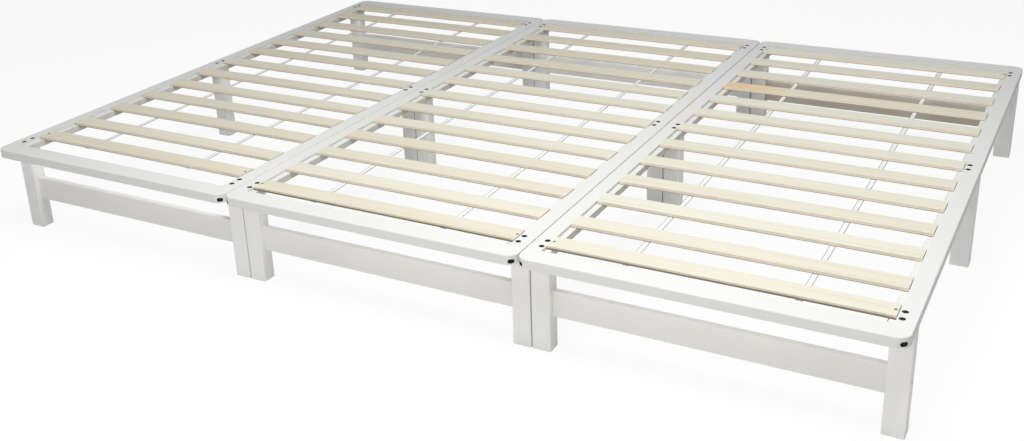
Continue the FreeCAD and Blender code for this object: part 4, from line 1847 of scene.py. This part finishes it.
    def build(self, tree: FastenerTree) -> None:
        """Builds and dresses the fasteners, and dresses the plates, nuts and dowels of the frame.

        Args:
            tree: Sets out the fasteners.
        """
        seed = self.seed + self.order
        screws = solids(self.module.node("leg_screws"))
        size = screws[0].size
        pattern = self.socket_screw(
            size.x / 2, self.screw_head_height, self.screw_shank, size.z, self.screw_dome
        )
        spots = [(screw.at_height(screw.high.z), UP) for screw in screws]
        mesh = set_out(tree, pattern, spots, BLACK_STEEL, math.tau, seed)
        self.give("leg_screws", mesh, BLACK_STEEL, "leg_screws")
        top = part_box(self.module.node("left_side_rail"))[1].z
        spots = [(screw.at_height(top), UP) for screw in screws]
        # Dark cups line the screws' bores as painted shade.
        mesh = set_out(tree, self.shade_cup(), spots, BLACK_STEEL, 0.0, seed)
        self.give("screw_cups", mesh, BLACK_STEEL)
        for name, found in (("corner_bolts", corner_bolts), ("stretcher_bolts", stretcher_bolts)):
            bolts = found(self.module)
            pattern = self.socket_screw(
                BOLT_HEAD_RADIUS, self.bolt_head_height, BOLT_SHANK_RADIUS, bolts[0].length
            )
            spots = [(bolt.head_face, bolt.aim) for bolt in bolts]
            mesh = set_out(tree, pattern, spots, BLACK_STEEL, math.tau, seed)
            self.give(name, mesh, BLACK_STEEL, "frame_bolts")
        # Dark cups line the corner bolts' slots as painted shade.
        self.give("bolt_cups", self.seat_shade_cups(), BLACK_STEEL)
        down, out, length = self.wood_screw_spots()
        groups = (("slat_screws", down, BLACK_STEEL), ("plate_screws", out, ZINC_STEEL))
        for name, spots, finish in groups:
            mesh = set_out(tree, self.wood_screw(length), spots, finish, math.tau, seed)
            self.give(name, mesh, finish, "wood_screws")
        kept = {"nuts": ZINC_STEEL, "corner_plates": ZINC_STEEL, "dowels": DowelTimber()}
        for node, finish in kept.items():
            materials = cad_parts[self.module.node(node)].data.materials
            materials.clear()
            materials.append(finish.material())


# ---------------------------------------------------------------- studio


@dataclass(frozen=True)
class Lamp:
    """One soft lamp: where it hangs, what it faces, how wide it is and how strong."""

    name: str
    place: Place
    target: Place
    width: float
    power: float
    tint: Place = (1, 1, 1)


@dataclass
class Studio:
    """A pale floor, a white backdrop, soft lamps and the camera."""

    floor_size: float = 30.0
    floor_shade: Colour = (0.88, 0.875, 0.865, 1)
    backdrop_share: float = 0.90
    sky: Colour = (0.94, 0.97, 1.0, 1)
    sky_level: float = 0.30
    lens: float = 41.323
    sensor: float = 36.0
    shift: Span = (0.02655, -0.06296)
    camera_place: Place = (1.64684, -3.20281, 1.52813)
    camera_target: Place = (-0.10827, -0.14562, 0.150)
    camera_roll: float = math.radians(-2.3637)
    lamps: tuple[Lamp, ...] = (
        Lamp("top", (0.7, -1.4, 3.2), (0.7, -1.2, 0.2), 2.4, 101.0),
        Lamp("front", (0.5, -4.6, 1.9), (0.2, -1.0, 0.12), 1.8, 27.0, (1.0, 0.94, 0.87)),
    )

    def seen_directly(self, bench: NodeBench) -> Socket:
        """One where the camera, a mirror or clear glass looks at the surface, nought for light.

        Args:
            bench: The nodes to add to.

        Returns:
            The number.
        """
        path = bench.add("ShaderNodeLightPath").outputs
        shown = bench.math("MAXIMUM", path["Is Camera Ray"], path["Is Glossy Ray"])
        return bench.math("MAXIMUM", shown, path["Is Transmission Ray"])

    def mix(
        self, bench: NodeBench, share: Feed, first: bpy.types.Node, second: bpy.types.Node
    ) -> bpy.types.Node:
        """A shader between two others."""
        feeds = {0: share, 1: first.outputs[0], 2: second.outputs[0]}
        return bench.add("ShaderNodeMixShader", feeds)

    def lay_floor(self) -> None:
        """A wide pale floor that shows nearly white and keeps the bed's shadow."""
        shape = bmesh.new()
        bmesh.ops.create_grid(shape, x_segments=1, y_segments=1, size=self.floor_size / 2)
        floor = new_object("studio_floor", from_bmesh(shape, "studio_floor"))
        material = bpy.data.materials.new("studio_floor")
        bench = NodeBench.cleared(material)
        matt = bench.add("ShaderNodeBsdfDiffuse", {"Color": self.floor_shade})
        pale = bench.add("ShaderNodeBsdfDiffuse", {"Color": WHITE})
        white = bench.add("ShaderNodeEmission", {"Color": WHITE, "Strength": 1.0})
        shown = self.mix(bench, self.backdrop_share, pale, white)
        mixed = self.mix(bench, self.seen_directly(bench), matt, shown)
        bench.add("ShaderNodeOutputMaterial", {"Surface": mixed.outputs[0]})
        floor.data.materials.append(material)

    def light_sky(self) -> None:
        """A soft even sky that shows white behind the bed."""
        world = bpy.data.worlds.new("studio_sky")
        bpy.context.scene.world = world
        bench = NodeBench.cleared(world)
        soft = bench.add("ShaderNodeBackground", {"Color": self.sky, "Strength": self.sky_level})
        white = bench.add("ShaderNodeBackground", {"Color": WHITE, "Strength": 1.0})
        mixed = self.mix(bench, self.seen_directly(bench), soft, white)
        bench.add("ShaderNodeOutputWorld", {"Surface": mixed.outputs[0]})

    def aimed(
        self, name: str, data: bpy.types.ID, place: Place, target: Place, roll: float = 0.0
    ) -> bpy.types.Object:
        """Hangs a lamp or the camera and turns it to its target.

        Args:
            name: Name of the object.
            data: The lamp or camera.
            place: Where it hangs.
            target: What it faces.
            roll: Turn about its line of sight.

        Returns:
            The object.
        """
        holder = new_object(name, data)
        level = (Vector(target) - Vector(place)).to_track_quat("-Z", "Y")
        holder.location = place
        holder.rotation_euler = (level @ Quaternion(UP, roll)).to_euler()
        return holder

    def hang_lamps(self) -> None:
        """Hangs the soft lamps."""
        for lamp in self.lamps:
            data = bpy.data.lights.new(lamp.name, "AREA")
            data.shape = "DISK"
            data.size = lamp.width
            data.energy = lamp.power
            data.color = lamp.tint
            self.aimed(lamp.name, data, lamp.place, lamp.target)

    def set_camera(self) -> None:
        """Sets the camera at the front right corner, a little above the bed."""
        data = bpy.data.cameras.new("camera")
        data.sensor_width = self.sensor
        data.lens = self.lens
        data.shift_x, data.shift_y = self.shift
        holder = self.aimed("camera", data, self.camera_place, self.camera_target, self.camera_roll)
        bpy.context.scene.camera = holder

    def build(self) -> None:
        """Sets up the whole studio."""
        bpy.context.scene.view_settings.view_transform = "Standard"
        self.lay_floor()
        self.light_sky()
        self.hang_lamps()
        self.set_camera()


def main() -> None:
    """Builds the studio and every module's pieces in order."""
    logging.basicConfig(level=logging.INFO, format="%(message)s")
    Studio().build()
    slat_tree, strap_tree, fastener_tree = SlatTree(), StrapTree(), FastenerTree()
    for module in Module:
        TopFrame(module).build()
        Legs(module).build()
        Stretchers(module).build()
        SlatBase(module).build(slat_tree, strap_tree, fastener_tree)
        Fasteners(module).build(fastener_tree)


if __name__ == "__main__":
    main()
